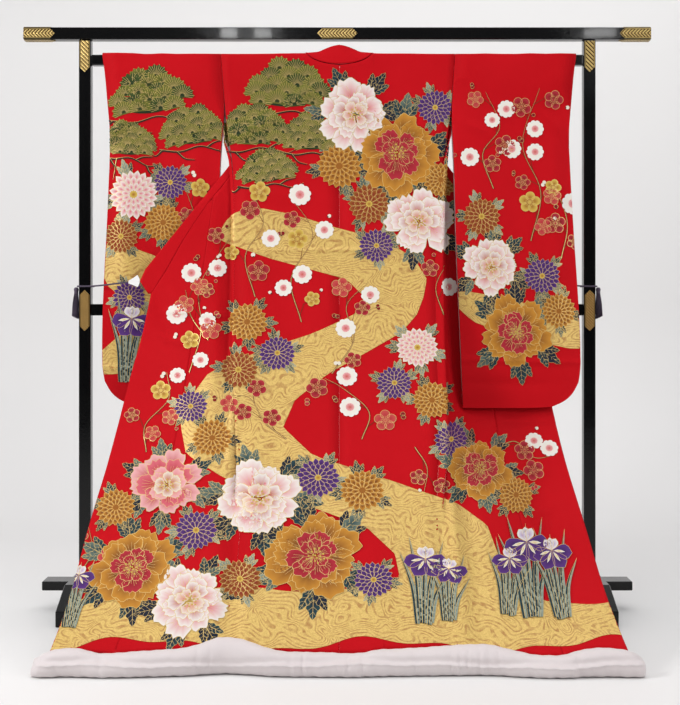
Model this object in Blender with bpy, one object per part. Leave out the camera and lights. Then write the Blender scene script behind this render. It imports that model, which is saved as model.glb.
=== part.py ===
"""Uchikake wedding kimono on a lacquered kimono stand.

The garment hangs over a rail with its back to the front of the stand (-Y).  Its two fronts swing
out sideways behind the back, and a padded roll finishes the hem on the floor.  Metres, +Z up, the
origin on the floor under the middle of the whole part.  Garment widths are measured from the
garment's own centre line and are the same on both sides unless a table gives a side of its own.
"""
import math

import bmesh
import bpy
from mathutils import Vector

# --- stand ---------------------------------------------------------------------------------------
ORIGIN_TO_POSTS = 0.2587         # the posts stand this far behind the part's origin
GAP = 0.0003                     # between pieces that touch
BAR_HALF_LENGTH = 0.903
BAR_SIZE = 0.035
BAR_BOTTOM = 1.642
POST_X = 0.726
POST_SIZE = 0.034
RAIL_DEPTH = 0.030
HANGING_RAIL_Z = (1.569, 1.599)
MIDDLE_RAIL_Z = (0.848, 0.881)
LOWER_RAIL_Z = (0.061, 0.087)
LOWER_RAIL_DEPTH = 0.073
LOWER_RAIL_HALF_LENGTH = 0.845
FOOT_WIDTH = 0.080
FOOT_HALF_LENGTH = 0.225
FOOT_HEIGHT = 0.092
FOOT_TIP_HEIGHT = 0.043
FOOT_FLAT_HALF_LENGTH = 0.105
EDGE_BEVEL = 0.002
RAIL_BEVEL = 0.004
PLATE_THICKNESS = 0.0012
PLATE_WIDTH = 0.029

# --- garment -------------------------------------------------------------------------------------
GARMENT_X = 0.006                # the garment's centre line, a little right of the stand's
CLOTH = 0.002                    # wall of silk, lining and what lies between
SEAM = 0.0005                    # between panels across a seam
REST = 0.0007                    # between the cloth and the rail that carries it
NECK_HALF_WIDTH = 0.100
NECK_DROP = 0.0466               # along the cloth, from the rail's middle to the neck seam
HEM_FRONT = 0.703                # how far the train comes forward of the rail
HEM_CURVE = 2.24
SLEEVE_BOTTOM = 0.589
SLEEVE_CORNER = 0.110
CUFF_END = 1.387

HANG = REST + CLOTH / 2
RAIL_ARC_CENTRE = (RAIL_DEPTH / 2 - RAIL_BEVEL, HANGING_RAIL_Z[1] - RAIL_BEVEL)
RAIL_ARC = RAIL_BEVEL + HANG
HANG_Y = RAIL_ARC_CENTRE[0] + RAIL_ARC
ARC_END_Z = RAIL_ARC_CENTRE[1]
ARC_LENGTH = RAIL_ARC * math.pi / 2
RAIL_TOP_RUN = (0.0005, RAIL_ARC_CENTRE[0], RAIL_ARC_CENTRE[0] + ARC_LENGTH / 3,
                RAIL_ARC_CENTRE[0] + ARC_LENGTH * 2 / 3)
ARC_END_RUN = RAIL_ARC_CENTRE[0] + ARC_LENGTH

# Heights of the panels' rows, from the rail down to the hem.
ROW_Z = (1.595, 1.54, 1.48, 1.43, 1.36, 1.30, 1.24, 1.18, 1.12, 1.05, 0.98, 0.945, 0.91, 0.85,
         0.78, 0.71, 0.64, 0.57, 0.50, 0.44, 0.39, 0.33, 0.26, 0.19, 0.12, 0.05)
NECK_BLEND_ROW = 1               # rows above this one close up towards the neck seam
HEM_BLEND_Z = 0.26               # rows below this height follow the wave of the hem
HEM_Z = ROW_Z[-1]

# A row of the body: height, half width of the back at its side seam, how far the fold stands
# beyond that seam, and how deep the front is tucked behind the back, for each side.
BODY_COLUMNS = ("z", "seam_left", "seam_right", "reach_left", "reach_right", "tuck")
BODY = (
    (1.595, 0.340, 0.332, 0.000, 0.000, 0.300),
    (1.540, 0.336, 0.328, 0.000, 0.000, 0.280),
    (1.480, 0.331, 0.324, 0.000, 0.000, 0.230),
    (1.430, 0.327, 0.320, 0.000, 0.000, 0.208),
    (1.360, 0.319, 0.310, 0.000, 0.000, 0.178),
    (1.300, 0.307, 0.298, 0.008, 0.010, 0.151),
    (1.240, 0.303, 0.287, 0.010, 0.019, 0.128),
    (1.180, 0.300, 0.279, 0.010, 0.022, 0.106),
    (1.050, 0.297, 0.271, 0.010, 0.024, 0.096),
    (0.910, 0.294, 0.268, 0.010, 0.024, 0.086),
    (0.780, 0.289, 0.267, 0.010, 0.024, 0.074),
    (0.640, 0.277, 0.267, 0.010, 0.024, 0.055),
    (0.500, 0.264, 0.265, 0.010, 0.024, 0.034),
    (0.440, 0.258, 0.259, 0.010, 0.020, 0.022),
    (0.390, 0.256, 0.254, 0.008, 0.014, 0.018),
    (0.330, 0.254, 0.250, 0.006, 0.008, 0.018),
    (0.260, 0.253, 0.247, 0.006, 0.006, 0.018),
    (0.190, 0.259, 0.251, 0.006, 0.006, 0.018),
    (0.120, 0.270, 0.265, 0.006, 0.006, 0.018),
    (0.050, 0.286, 0.281, 0.006, 0.006, 0.018),
)

# A row of the fronts: height, the seam of the front with its overlap or collar, the overlap's
# outer edge, and how far forward (-) the outer edge lies on each side.
FRONT_COLUMNS = ("z", "front_seam", "edge", "edge_y_left", "edge_y_right", "layer_gap")
FRONT = (
    (1.595, 0.100, 0.100, 0.0165, 0.0165, 0.0334),
    (1.540, 0.102, 0.102, 0.0180, 0.0190, 0.0336),
    (1.480, 0.125, 0.125, 0.0240, 0.0250, 0.0320),
    (1.430, 0.165, 0.165, 0.0175, 0.0240, 0.0280),
    (1.360, 0.225, 0.225, 0.0010, 0.0230, 0.0160),
    (1.300, 0.277, 0.277, -0.0155, 0.0180, 0.0070),
    (1.240, 0.317, 0.317, -0.0268, 0.0100, 0.0050),
    (1.180, 0.360, 0.366, -0.0410, 0.0020, 0.0055),
    (1.120, 0.368, 0.408, -0.0470, -0.0070, 0.0070),
    (1.050, 0.377, 0.452, -0.0540, -0.0170, 0.0080),
    (0.980, 0.386, 0.487, -0.0620, -0.0265, 0.0080),
    (0.945, 0.390, 0.510, -0.0655, -0.0310, 0.0080),
    (0.910, 0.395, 0.534, -0.0700, -0.0355, 0.0080),
    (0.850, 0.402, 0.545, -0.0780, -0.0425, 0.0080),
    (0.780, 0.410, 0.558, -0.0900, -0.0500, 0.0080),
    (0.710, 0.419, 0.577, -0.1080, -0.0600, 0.0080),
    (0.640, 0.427, 0.592, -0.1350, -0.0740, 0.0080),
    (0.570, 0.435, 0.603, -0.1760, -0.0960, 0.0080),
    (0.500, 0.444, 0.615, -0.2220, -0.1300, 0.0080),
    (0.440, 0.453, 0.625, -0.2650, -0.1690, 0.0080),
    (0.390, 0.461, 0.635, -0.3040, -0.2080, 0.0080),
    (0.330, 0.471, 0.646, -0.3570, -0.2660, 0.0080),
    (0.260, 0.484, 0.656, -0.4250, -0.3500, 0.0010),
    (0.190, 0.498, 0.662, -0.4980, -0.4480, 0.0000),
    (0.120, 0.514, 0.670, -0.5800, -0.5600, 0.0000),
    (0.050, 0.533, 0.687, -0.6800, -0.6800, 0.0000),
)

# How a front turns behind the back: the way it sets out from its side seam (0 outwards, 90 to the
# rear, 180 inwards) and how far it turns at its outer and inner fold, in degrees.
TURN_COLUMNS = ("z", "start", "outer", "inner")
TURN = (
    (1.540, 180.0, 0.0, 0.0),
    (1.480, 180.0, 0.0, 90.0),
    (1.430, 180.0, 0.0, 180.0),
    (1.360, 90.0, 90.0, 180.0),
    (1.300, 0.0, 180.0, 180.0),
    (0.500, 0.0, 180.0, 180.0),
    (0.440, 0.0, 150.0, 150.0),
    (0.390, 0.0, 95.0, 95.0),
    (0.330, 0.0, 40.0, 40.0),
    (0.260, 0.0, 0.0, 0.0),
)

# How far out a front comes level with its outer edge: beside the right sleeve it does so at once.
LEVEL_COLUMNS = ("z", "left", "right")
LEVEL = (
    (1.240, 0.320, 0.320),
    (1.180, 0.366, 0.330),
    (0.910, 0.534, 0.335),
    (0.640, 0.592, 0.335),
    (0.570, 0.603, 0.340),
    (0.500, 0.615, 0.470),
    (0.440, 0.625, 0.570),
    (0.330, 0.646, 0.646),
    (0.050, 0.687, 0.687),
)

# The collar's outer edge: height, half width, and how far it lies behind the seam as it turns.
COLLAR_COLUMNS = ("z", "edge", "behind")
COLLAR = (
    (1.595, 0.057, 0.0005),
    (1.540, 0.061, 0.0140),
    (1.480, 0.130, 0.0420),
    (1.430, 0.198, 0.0280),
    (1.360, 0.262, 0.0120),
    (1.300, 0.300, 0.0040),
    (1.240, 0.345, 0.0000),
    (1.180, 0.392, 0.0000),
    (1.120, 0.440, 0.0000),
    (1.050, 0.495, 0.0000),
    (0.980, 0.551, 0.0000),
    (0.945, 0.566, 0.0000),
    (0.910, 0.542, 0.0000),
)
COLLAR_WALL = 0.0026
COLLAR_SEAM = 0.0012             # between the collar and the edges it is sewn to
COLLAR_STEP = 0.0022             # the same, along the cloth at the neck
NECK_LIFT = 0.0032               # the back's neck edge stands this much further from the rail
COLLAR_LIFT = 0.0032             # its thicker wall stands this much further from the rail
NECK_BASE_Z = 1.55               # the neck seam lies above this height
COLLAR_TURN_Z = 1.52             # below this height the collar has turned outwards
# The collar round the neck: half width and height run of its seam, then its free edge's place.
NECK_COLUMNS = ("seam_x", "edge_x", "edge_y", "edge_z")
NECK = (
    (0.000, 0.000, -0.0125, 1.6270),
    (0.030, 0.019, -0.0122, 1.6240),
    (0.060, 0.037, -0.0118, 1.6165),
    (0.082, 0.049, -0.0088, 1.6115),
    (0.092, 0.054, -0.0040, 1.6085),
    (0.096, 0.056, -0.0005, 1.6070),
)

# A row of the sleeves: height, edge towards the body on each side, outer edge, and for each side
# the place of the bag's middle and half the depth between its two walls.
SLEEVE_COLUMNS = ("z", "inner_left", "inner_right", "outer", "middle_left", "half_left",
                  "middle_right", "half_right")
SLEEVE = (
    (1.595, 0.340, 0.332, 0.681, 0.0000, 0.0165, 0.0000, 0.0165),
    (1.540, 0.336, 0.328, 0.673, -0.0005, 0.0165, -0.0010, 0.0170),
    (1.480, 0.331, 0.324, 0.668, -0.0040, 0.0155, -0.0030, 0.0170),
    (1.430, 0.329, 0.322, 0.663, -0.0065, 0.0145, -0.0060, 0.0160),
    (1.387, 0.334, 0.323, 0.659, -0.0080, 0.0138, -0.0100, 0.0155),
    (1.300, 0.342, 0.328, 0.661, -0.0098, 0.0122, -0.0190, 0.0140),
    (1.180, 0.345, 0.330, 0.665, -0.0135, 0.0108, -0.0320, 0.0120),
    (1.050, 0.347, 0.332, 0.670, -0.0200, 0.0090, -0.0480, 0.0100),
    (0.900, 0.348, 0.337, 0.677, -0.0255, 0.0070, -0.0670, 0.0085),
    (0.780, 0.349, 0.341, 0.680, -0.0270, 0.0068, -0.0840, 0.0080),
    (0.700, 0.350, 0.343, 0.679, -0.0280, 0.0066, -0.0960, 0.0078),
    (0.589, 0.351, 0.346, 0.679, -0.0290, 0.0064, -0.1135, 0.0075),
)
SLEEVE_ROWS = (1.595, 1.54, 1.48, 1.43, 1.387, 1.34, 1.25, 1.15, 1.04, 0.94, 0.86, 0.79, 0.73, 0.68,
               0.64, 0.61, 0.597, 0.589)
SLEEVE_ACROSS = (0.0, 0.03, 0.22, 0.42, 0.62, 0.80, 0.91, 0.97, 1.0)
SLEEVE_SEAM_HALF = CLOTH / 2 + GAP
SLEEVE_ARC_FROM = 0.88           # height below which the outer edge is spaced along its corner

# Waves of the hem: half width (signed) and the height of the seam over the padded roll.
HEM_WAVE = (
    (-0.720, 0.040), (-0.680, 0.052), (-0.630, 0.058), (-0.570, 0.046), (-0.460, 0.050),
    (-0.350, 0.056), (-0.310, 0.068), (-0.270, 0.075), (-0.220, 0.069), (-0.155, 0.049),
    (-0.040, 0.047), (0.050, 0.046), (0.080, 0.051), (0.190, 0.055), (0.280, 0.060),
    (0.360, 0.062), (0.400, 0.053), (0.480, 0.042), (0.530, 0.042), (0.590, 0.056),
    (0.660, 0.056), (0.720, 0.040),
)
ROLL_HALF_LENGTH = 0.726
ROLL_SEAM = 0.0008               # between the panels' ends and the roll
ROLL_SHOULDER = 0.0052
ROLL_CENTRE = 0.024
# Section of the roll: forward of the hem seam, and the share of the seam's height it stands at.
ROLL_SECTION = (
    (0.0180, 1.180), (0.0350, 1.090), (0.0500, 0.830), (0.0570, 0.480), (0.0520, 0.160),
    (0.0420, 0.000), (0.0050, 0.000), (-0.0080, 0.200), (-0.0110, 0.520),
)
ROLL_TIP = ((0.55, 0.93), (0.85, 0.72), (1.0, 0.42))   # share of the run beyond the panels, size

# --- ties ----------------------------------------------------------------------------------------
CORD_DIAMETER = 0.005
TIE_Z = 0.932
LOOP_SLACK = 0.0009              # between the tight loop and the post's corners
TASSEL_LENGTH = 0.094
TASSEL_HEAD = 0.018
TASSEL_RADIUS = 0.0095
TASSEL_SIDES = 12
TASSEL_CORE = 0.0036             # radius of the ring inside the head's underside
TASSEL_SLIT = 0.00025            # between the strands at their roots
TASSEL_UNEVEN = 0.004            # how much the strands differ in length
# The tassel's head from the cord down: radius and drop.
TASSEL_PROFILE = ((0.0035, 0.0), (0.0062, -0.003), (0.0070, -0.008), (0.0058, -0.012),
                  (0.0066, -0.018))
LOOP_CORNER = 0.005
CLIP_REACH = (-0.014, 0.020)     # the fan's corners below and above the cord, at the collar
CLIP_STEM = 0.004                # the same at the cord's end
CLIP_THICKNESS = 0.003
# Each cord's route from the loop on the post to the clip on the collar: across, forward, up.
CORD_ROUTE = {
    "left": ((-0.7130, -0.0240, 0.9320), (-0.6980, -0.0300, 0.9325), (-0.6750, -0.0435, 0.9340),
             (-0.6450, -0.0545, 0.9370), (-0.6150, -0.0620, 0.9405), (-0.5935, -0.0650, 0.9430)),
    "right": ((0.7130, -0.0240, 0.9320), (0.6980, -0.0258, 0.9328), (0.6750, -0.0285, 0.9345),
              (0.6500, -0.0300, 0.9370), (0.6250, -0.0308, 0.9400), (0.6060, -0.0310, 0.9430)),
}

# --- colours -------------------------------------------------------------------------------------
RED_SILK = (0.52, 0.008, 0.014, 1.0)
PALE_LINING = (0.69, 0.64, 0.68, 1.0)
BLACK_LACQUER = (0.008, 0.008, 0.009, 1.0)
GILT = (0.78, 0.55, 0.20, 1.0)
PURPLE_CORD = (0.075, 0.055, 0.11, 1.0)
WHITE_CLIP = (0.82, 0.82, 0.80, 1.0)


# --- small tools ---------------------------------------------------------------------------------
def clear_scene():
    for thing in list(bpy.data.objects):
        bpy.data.objects.remove(thing, do_unlink=True)


def material(name, colour, roughness, metallic=0.0):
    made = bpy.data.materials.new(name)
    made.use_nodes = True
    shader = made.node_tree.nodes["Principled BSDF"]
    shader.inputs["Base Color"].default_value = colour
    shader.inputs["Roughness"].default_value = roughness
    shader.inputs["Metallic"].default_value = metallic
    return made


def interpolate(places, values, at):
    """Smooth curve through a table's rows that never overshoots them."""
    if places[0] > places[-1]:
        places, values = places[::-1], values[::-1]
    if at <= places[0]:
        return values[0]
    if at >= places[-1]:
        return values[-1]
    spans = [b - a for a, b in zip(places, places[1:])]
    slopes = [(b - a) / h for a, b, h in zip(values, values[1:], spans)]
    index = max(i for i, place in enumerate(places[:-1]) if place <= at)

    def tangent(i):
        if i == 0 or i == len(values) - 1:
            return slopes[0] if i == 0 else slopes[-1]
        before, after = slopes[i - 1], slopes[i]
        if before * after <= 0:
            return 0.0
        return 2 * before * after / (before + after)

    h = spans[index]
    t = (at - places[index]) / h
    return ((2 * t ** 3 - 3 * t ** 2 + 1) * values[index]
            + (t ** 3 - 2 * t ** 2 + t) * h * tangent(index)
            + (-2 * t ** 3 + 3 * t ** 2) * values[index + 1]
            + (t ** 3 - t ** 2) * h * tangent(index + 1))


def column(table, columns, name, z):
    index = columns.index(name)
    return interpolate([row[0] for row in table], [row[index] for row in table], z)


def body(name, z):
    return column(BODY, BODY_COLUMNS, name, z)


def front(name, z):
    return column(FRONT, FRONT_COLUMNS, name, z)


def smooth(value):
    value = min(max(value, 0.0), 1.0)
    return value * value * (3 - 2 * value)


def side_sign(side):
    return -1 if side == "left" else 1


# --- making objects ------------------------------------------------------------------------------
def add_object(name, mesh, shade, parent, smooth_shade=False):
    made = bpy.data.objects.new(name, mesh)
    bpy.context.scene.collection.objects.link(made)
    made.parent = parent
    mesh.materials.append(shade)
    if smooth_shade:
        mesh.shade_smooth()
    return made


def make_cloth(name, grid, shade, parent, thickness=CLOTH):
    """Close an open grid of points, top row first, into a wall of even thickness."""
    across = len(grid[0])
    points = [point for row in grid for point in row]
    faces = []
    for r in range(len(grid) - 1):
        for c in range(across - 1):
            a = r * across + c
            faces.append((a, a + across, a + across + 1, a + 1))
    mesh = bpy.data.meshes.new(name)
    mesh.from_pydata(points, [], faces)
    made = add_object(name, mesh, shade, parent, smooth_shade=True)
    wall = made.modifiers.new("wall", "SOLIDIFY")
    wall.thickness = thickness
    wall.offset = 0.0
    wall.use_rim = True
    wall.use_quality_normals = True
    return made


def make_box(name, low, high, shade, parent, bevel=EDGE_BEVEL, segments=1):
    shape = bmesh.new()
    bmesh.ops.create_cube(shape, size=1.0)
    centre = (Vector(low) + Vector(high)) / 2
    size = Vector(high) - Vector(low)
    for vert in shape.verts:
        vert.co = Vector(a * b for a, b in zip(vert.co, size))
    mesh = bpy.data.meshes.new(name)
    shape.to_mesh(mesh)
    shape.free()
    made = add_object(name, mesh, shade, parent)
    made.location = centre
    if bevel:
        soft = made.modifiers.new("soft_edges", "BEVEL")
        soft.width = bevel
        soft.segments = segments
    return made


def make_prism(name, outline, axis, start, end, shade, parent, bevel=0.0):
    """Extrude a closed outline of (u, v) pairs along an axis, 'X' or 'Y' or 'Z'."""
    def place(u, v, w):
        return {"X": (w, u, v), "Y": (u, w, v), "Z": (u, v, w)}[axis]
    shape = bmesh.new()
    base = [shape.verts.new(place(u, v, start)) for u, v in outline]
    face = shape.faces.new(base)
    grown = bmesh.ops.extrude_face_region(shape, geom=[face])
    shift = Vector(place(0, 0, end)) - Vector(place(0, 0, start))
    moved = [item for item in grown["geom"] if isinstance(item, bmesh.types.BMVert)]
    bmesh.ops.translate(shape, verts=moved, vec=shift)
    bmesh.ops.recalc_face_normals(shape, faces=shape.faces)
    mesh = bpy.data.meshes.new(name)
    shape.to_mesh(mesh)
    shape.free()
    made = add_object(name, mesh, shade, parent)
    if bevel:
        soft = made.modifiers.new("soft_edges", "BEVEL")
        soft.width = bevel
        soft.segments = 1
    return made


# --- stand ---------------------------------------------------------------------------------------
def make_stand(lacquer, parent):
    half_bar = BAR_SIZE / 2
    half_post = POST_SIZE / 2
    half_rail = RAIL_DEPTH / 2
    inner = POST_X - half_post - GAP
    make_box("top_bar", (-BAR_HALF_LENGTH, -half_bar, BAR_BOTTOM),
             (BAR_HALF_LENGTH, half_bar, BAR_BOTTOM + BAR_SIZE), lacquer, parent)
    for name, (low, high), bevel in (("hanging_rail", HANGING_RAIL_Z, RAIL_BEVEL),
                                     ("middle_rail", MIDDLE_RAIL_Z, EDGE_BEVEL)):
        make_box(name, (-inner, -half_rail, low), (inner, half_rail, high), lacquer, parent, bevel,
                 3 if bevel == RAIL_BEVEL else 1)
    low, high = LOWER_RAIL_Z
    half_low = LOWER_RAIL_DEPTH / 2
    to_foot = POST_X - FOOT_WIDTH / 2 - GAP
    from_foot = POST_X + FOOT_WIDTH / 2 + GAP
    make_box("lower_rail", (-to_foot, -half_low, low), (to_foot, half_low, high), lacquer, parent)
    foot = ((-FOOT_HALF_LENGTH, 0.0), (FOOT_HALF_LENGTH, 0.0),
            (FOOT_HALF_LENGTH, FOOT_TIP_HEIGHT), (FOOT_FLAT_HALF_LENGTH, FOOT_HEIGHT),
            (-FOOT_FLAT_HALF_LENGTH, FOOT_HEIGHT), (-FOOT_HALF_LENGTH, FOOT_TIP_HEIGHT))
    for side in ("left", "right"):
        sign = side_sign(side)
        x = sign * POST_X
        make_box("post_" + side, (x - half_post, -half_post, FOOT_HEIGHT + GAP),
                 (x + half_post, half_post, BAR_BOTTOM - GAP), lacquer, parent)
        make_prism("foot_" + side, foot, "X", x - FOOT_WIDTH / 2, x + FOOT_WIDTH / 2, lacquer,
                   parent, EDGE_BEVEL)
        ends = sorted((sign * from_foot, sign * LOWER_RAIL_HALF_LENGTH))
        make_box("lower_rail_end_" + side, (ends[0], -half_low, low), (ends[1], half_low, high),
                 lacquer, parent)


def pointed_plate(length, width, point, both_ends):
    """Outline of a plate along u, its point (or points) at the high end (or both)."""
    half = width / 2
    outline = [(0.0, -half), (length - point, -half), (length, 0.0), (length - point, half),
               (0.0, half)]
    if both_ends:
        outline = [(point, -half)] + outline[1:4] + [(point, half), (0.0, 0.0)]
    return outline


def make_plate(name, along, fixed, face, length, point, both_ends, gilt, parent):
    """A thin gilt plate: 'along' gives its run ('X' or 'Z'), its start and its direction."""
    run, start, direction = along
    depth_axis, surface, out = face
    outline = [(start + direction * u, fixed + v)
               for u, v in pointed_plate(length, PLATE_WIDTH, point, both_ends)]
    if run == "Z":
        outline = [(v, u) for u, v in outline]
    near = surface + out * GAP
    make_prism(name, outline, depth_axis, near, near + out * PLATE_THICKNESS, gilt, parent)


def make_fittings(gilt, parent):
    half_bar = BAR_SIZE / 2
    half_post = POST_SIZE / 2
    bar_middle = BAR_BOTTOM + half_bar
    end_length, centre_length, post_length, waist_length = 0.090, 0.116, 0.090, 0.117
    point = 0.014
    end_inset = 0.001
    waist_top = 0.921
    for face_name, out in (("front", -1), ("rear", 1)):
        face = ("Y", out * half_bar, out)
        make_plate("plate_centre_" + face_name, ("X", -centre_length / 2, 1),
                   bar_middle, face, centre_length, point, True, gilt, parent)
        for side in ("left", "right"):
            sign = side_sign(side)
            start = sign * (BAR_HALF_LENGTH - end_inset)
            make_plate("plate_end_%s_%s" % (side, face_name), ("X", start, -sign), bar_middle, face,
                       end_length, point, False, gilt, parent)
            post = ("Y", out * half_post, out)
            make_plate("plate_top_%s_%s" % (side, face_name), ("Z", BAR_BOTTOM - 0.004, -1),
                       sign * POST_X, post, post_length, point, False, gilt, parent)
            make_plate("plate_waist_%s_%s" % (side, face_name), ("Z", waist_top, -1),
                       sign * POST_X, post, waist_length, point, True, gilt, parent)
    for side in ("left", "right"):
        sign = side_sign(side)
        start = sign * (BAR_HALF_LENGTH - end_inset)
        for face_name, surface, out in (("under", BAR_BOTTOM, -1), ("over", BAR_BOTTOM + BAR_SIZE, 1)):
            make_plate("plate_end_%s_%s" % (side, face_name), ("X", start, -sign), 0.0,
                       ("Z", surface, out), end_length, point, False, gilt, parent)


# --- cloth over the rail -------------------------------------------------------------------------
def back_y(z):
    """How far forward the middle of the back lies at a height, below the rail."""
    return -HANG_Y - HEM_FRONT * max(0.0, 1 - z / ARC_END_Z) ** HEM_CURVE


def over_rail(run, lift=0.0):
    """Depth (positive away from the rail's middle) and height at a run of cloth over the rail."""
    radius = RAIL_ARC + lift
    if run <= RAIL_ARC_CENTRE[0]:
        return run, ARC_END_Z + radius
    if run >= ARC_END_RUN:
        return HANG_Y + lift, ARC_END_Z - (run - ARC_END_RUN)
    turn = (run - RAIL_ARC_CENTRE[0]) / RAIL_ARC
    return RAIL_ARC_CENTRE[0] + radius * math.sin(turn), ARC_END_Z + radius * math.cos(turn)


def hem_height(x):
    return interpolate([row[0] for row in HEM_WAVE], [row[1] for row in HEM_WAVE], x)


def settled(z, x):
    """A row's height near the floor follows the wave of the hem."""
    if z >= HEM_BLEND_Z:
        return z
    share = (HEM_BLEND_Z - z) / (HEM_BLEND_Z - HEM_Z)
    return z + (hem_height(x) - HEM_Z) * share


def panel_point(x, y, z):
    return Vector((GARMENT_X + x, y, z))


# --- back ----------------------------------------------------------------------------------------
def neck_run(x):
    inside = max(0.0, 1 - (abs(x) / NECK_HALF_WIDTH) ** 2)
    return NECK_DROP * math.sqrt(inside)


def back_rows():
    """Runs of cloth over the rail, then heights, for the back's rows."""
    blend_run = ARC_END_RUN + ARC_END_Z - ROW_Z[NECK_BLEND_ROW]
    upper = list(RAIL_TOP_RUN) + [ARC_END_RUN + ARC_END_Z - z for z in ROW_Z[:NECK_BLEND_ROW]]
    return upper, blend_run


def make_back(side, silk, parent):
    sign = side_sign(side)
    upper, blend_run = back_rows()
    neck_columns = (0.0, 0.30, 0.60, 0.82, 0.93, 0.98, 1.0)
    outer_columns = (0.30, 0.62, 0.88, 1.0)
    grid = []
    for index, run in enumerate(upper + list(ROW_Z[NECK_BLEND_ROW:])):
        below = index >= len(upper)
        z_row = run if below else over_rail(max(run, ARC_END_RUN))[1]
        seam = body("seam_" + side, z_row)
        widths = [SEAM / 2 + (NECK_HALF_WIDTH - SEAM / 2) * share for share in neck_columns]
        widths += [NECK_HALF_WIDTH + (seam - NECK_HALF_WIDTH) * share for share in outer_columns]
        row = []
        for width in widths:
            if below:
                z = settled(run, sign * width)
                row.append(panel_point(sign * width, back_y(z), z))
                continue
            start = neck_run(width)
            here = start + run * (blend_run - start) / blend_run
            lift = NECK_LIFT if width < NECK_HALF_WIDTH - SEAM else 0.0
            if abs(width - NECK_HALF_WIDTH) < SEAM:
                lift = NECK_LIFT / 2
            depth, z = over_rail(here, lift)
            row.append(panel_point(sign * width, -depth, z))
        grid.append(row if sign > 0 else row[::-1])
    make_cloth("back_" + side, grid, silk, parent)
    return grid


# --- fronts --------------------------------------------------------------------------------------
SIDE_OPENING_END = 1.33          # the sides are open above this height, up to the sleeves
FLAT_ABOVE = 1.50                # above this height a front lies flat behind the rail
SEAM_END_EASE = 0.0025           # the side seam parts this much more at its upper end
FOLD_RADIUS = 0.004
FOLD_LENGTH = FOLD_RADIUS * math.pi
PLAIN_START = 0.006              # cloth before the outer fold's place where there is no fold
LAPEL = 0.024                    # cloth beyond the inner fold's place where there is no fold
RELEASED_TUCK = 0.010            # cloth between the folds where they have nearly let go
FRONT_REST = 6                   # columns beyond the inner fold


def follow(x, y, heading, moves):
    """Points along a section of cloth that bends as it goes: each move is a length and a turn."""
    points = [(x, y)]
    for length, turn in moves:
        chord = length if abs(turn) < 0.001 else 2 * length / abs(turn) * math.sin(abs(turn) / 2)
        x += chord * math.cos(heading + turn / 2)
        y += chord * math.sin(heading + turn / 2)
        heading += turn
        points.append((x, y))
    return points, heading


def front_folds(side, z):
    """Points of a front from its side seam through both folds, and the way it then goes."""
    start, outer, inner = [math.radians(column(TURN, TURN_COLUMNS, name, z))
                           for name in TURN_COLUMNS[1:]]
    seam = body("seam_" + side, z)
    gap = front("layer_gap", z)
    ahead = max(body("reach_" + side, z) - FOLD_RADIUS, 0.002)
    tuck = max(body("tuck", z) - 2 * FOLD_RADIUS, RELEASED_TUCK)
    x, y = seam, back_y(z)
    if z > SIDE_OPENING_END:
        ahead = PLAIN_START
        y += gap
        tuck -= ahead
        if outer > 0:
            x += CLOTH * 3 / 4
            y = back_y(z) + CLOTH / 2
            ahead = gap - FOLD_RADIUS * 2 - CLOTH / 2
    else:
        x += SEAM + SEAM_END_EASE * smooth((z - 1.26) / 0.04)
    if z > FLAT_ABOVE:
        tuck = seam - front("front_seam", z) - PLAIN_START - 2 * FOLD_LENGTH - LAPEL
    moves = [(ahead / 2, 0.0)] * 2 + [(FOLD_LENGTH / 2, outer / 2)] * 2
    moves += [(tuck / 2, 0.0)] * 2 + [(FOLD_LENGTH / 2, -inner / 2)] * 2
    return follow(x, y, start, moves)


def level_y(side, z, x, from_x, from_y):
    """Depth of a front outside its inner fold, easing to its outer edge's depth."""
    level_x = max(column(LEVEL, LEVEL_COLUMNS, side, z), from_x + 0.01)
    share = smooth((x - from_x) / (level_x - from_x))
    return from_y + (front("edge_y_" + side, z) - from_y) * share


def front_section(side, z):
    """Half widths and depths of a front's columns, from its side seam to its outer seam."""
    points, heading = front_folds(side, z)
    from_x, from_y = points[-1]
    if heading > math.pi / 4:
        return points + follow(from_x, from_y, heading, [(LAPEL / FRONT_REST, 0.0)] * FRONT_REST)[0][1:]
    for step in range(1, FRONT_REST + 1):
        x = from_x + (front("front_seam", z) - from_x) * step / FRONT_REST
        points.append((x, level_y(side, z, x, from_x, from_y)))
    return points


def make_front(side, silk, parent):
    sign = side_sign(side)
    grid = []
    for run in RAIL_TOP_RUN:
        depth, z = over_rail(run)
        grid.append([panel_point(sign * x, depth, z) for x, y in front_section(side, ARC_END_Z)])
    for z_row in ROW_Z:
        row = []
        for x, y in front_section(side, z_row):
            z = settled(z_row, sign * x)
            row.append(panel_point(sign * x, y + back_y(z) - back_y(z_row), z))
        grid.append(row)
    if sign > 0:
        grid = [row[::-1] for row in grid]
    make_cloth("front_" + side, grid, silk, parent)
    return grid


def outer_point(side, z_row, x):
    """A point of the overlap or the collar, outside the front's own seam."""
    (from_x, from_y), heading = front_folds(side, z_row)[0][-1], front_folds(side, z_row)[1]
    if heading > math.pi / 4:
        end_x, end_y = front_section(side, z_row)[-1]
        return panel_point(side_sign(side) * (end_x + x - front("front_seam", z_row)), end_y, z_row)
    y = level_y(side, z_row, x, from_x, from_y)
    sign = side_sign(side)
    z = settled(z_row, sign * x)
    return panel_point(sign * x, y + back_y(z) - back_y(z_row), z)


def make_overlap(side, silk, parent):
    sign = side_sign(side)
    grid = []
    for z_row in ROW_Z:
        inner = front("front_seam", z_row) + SEAM * 2
        outer = front("edge", z_row)
        if outer - inner < 0.004:
            continue
        steps = 4
        grid.append([outer_point(side, z_row, inner + (outer - inner) * step / steps)
                     for step in range(steps + 1)])
    if sign > 0:
        grid = [row[::-1] for row in grid]
    make_cloth("overlap_" + side, grid, silk, parent)
    return grid


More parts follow.
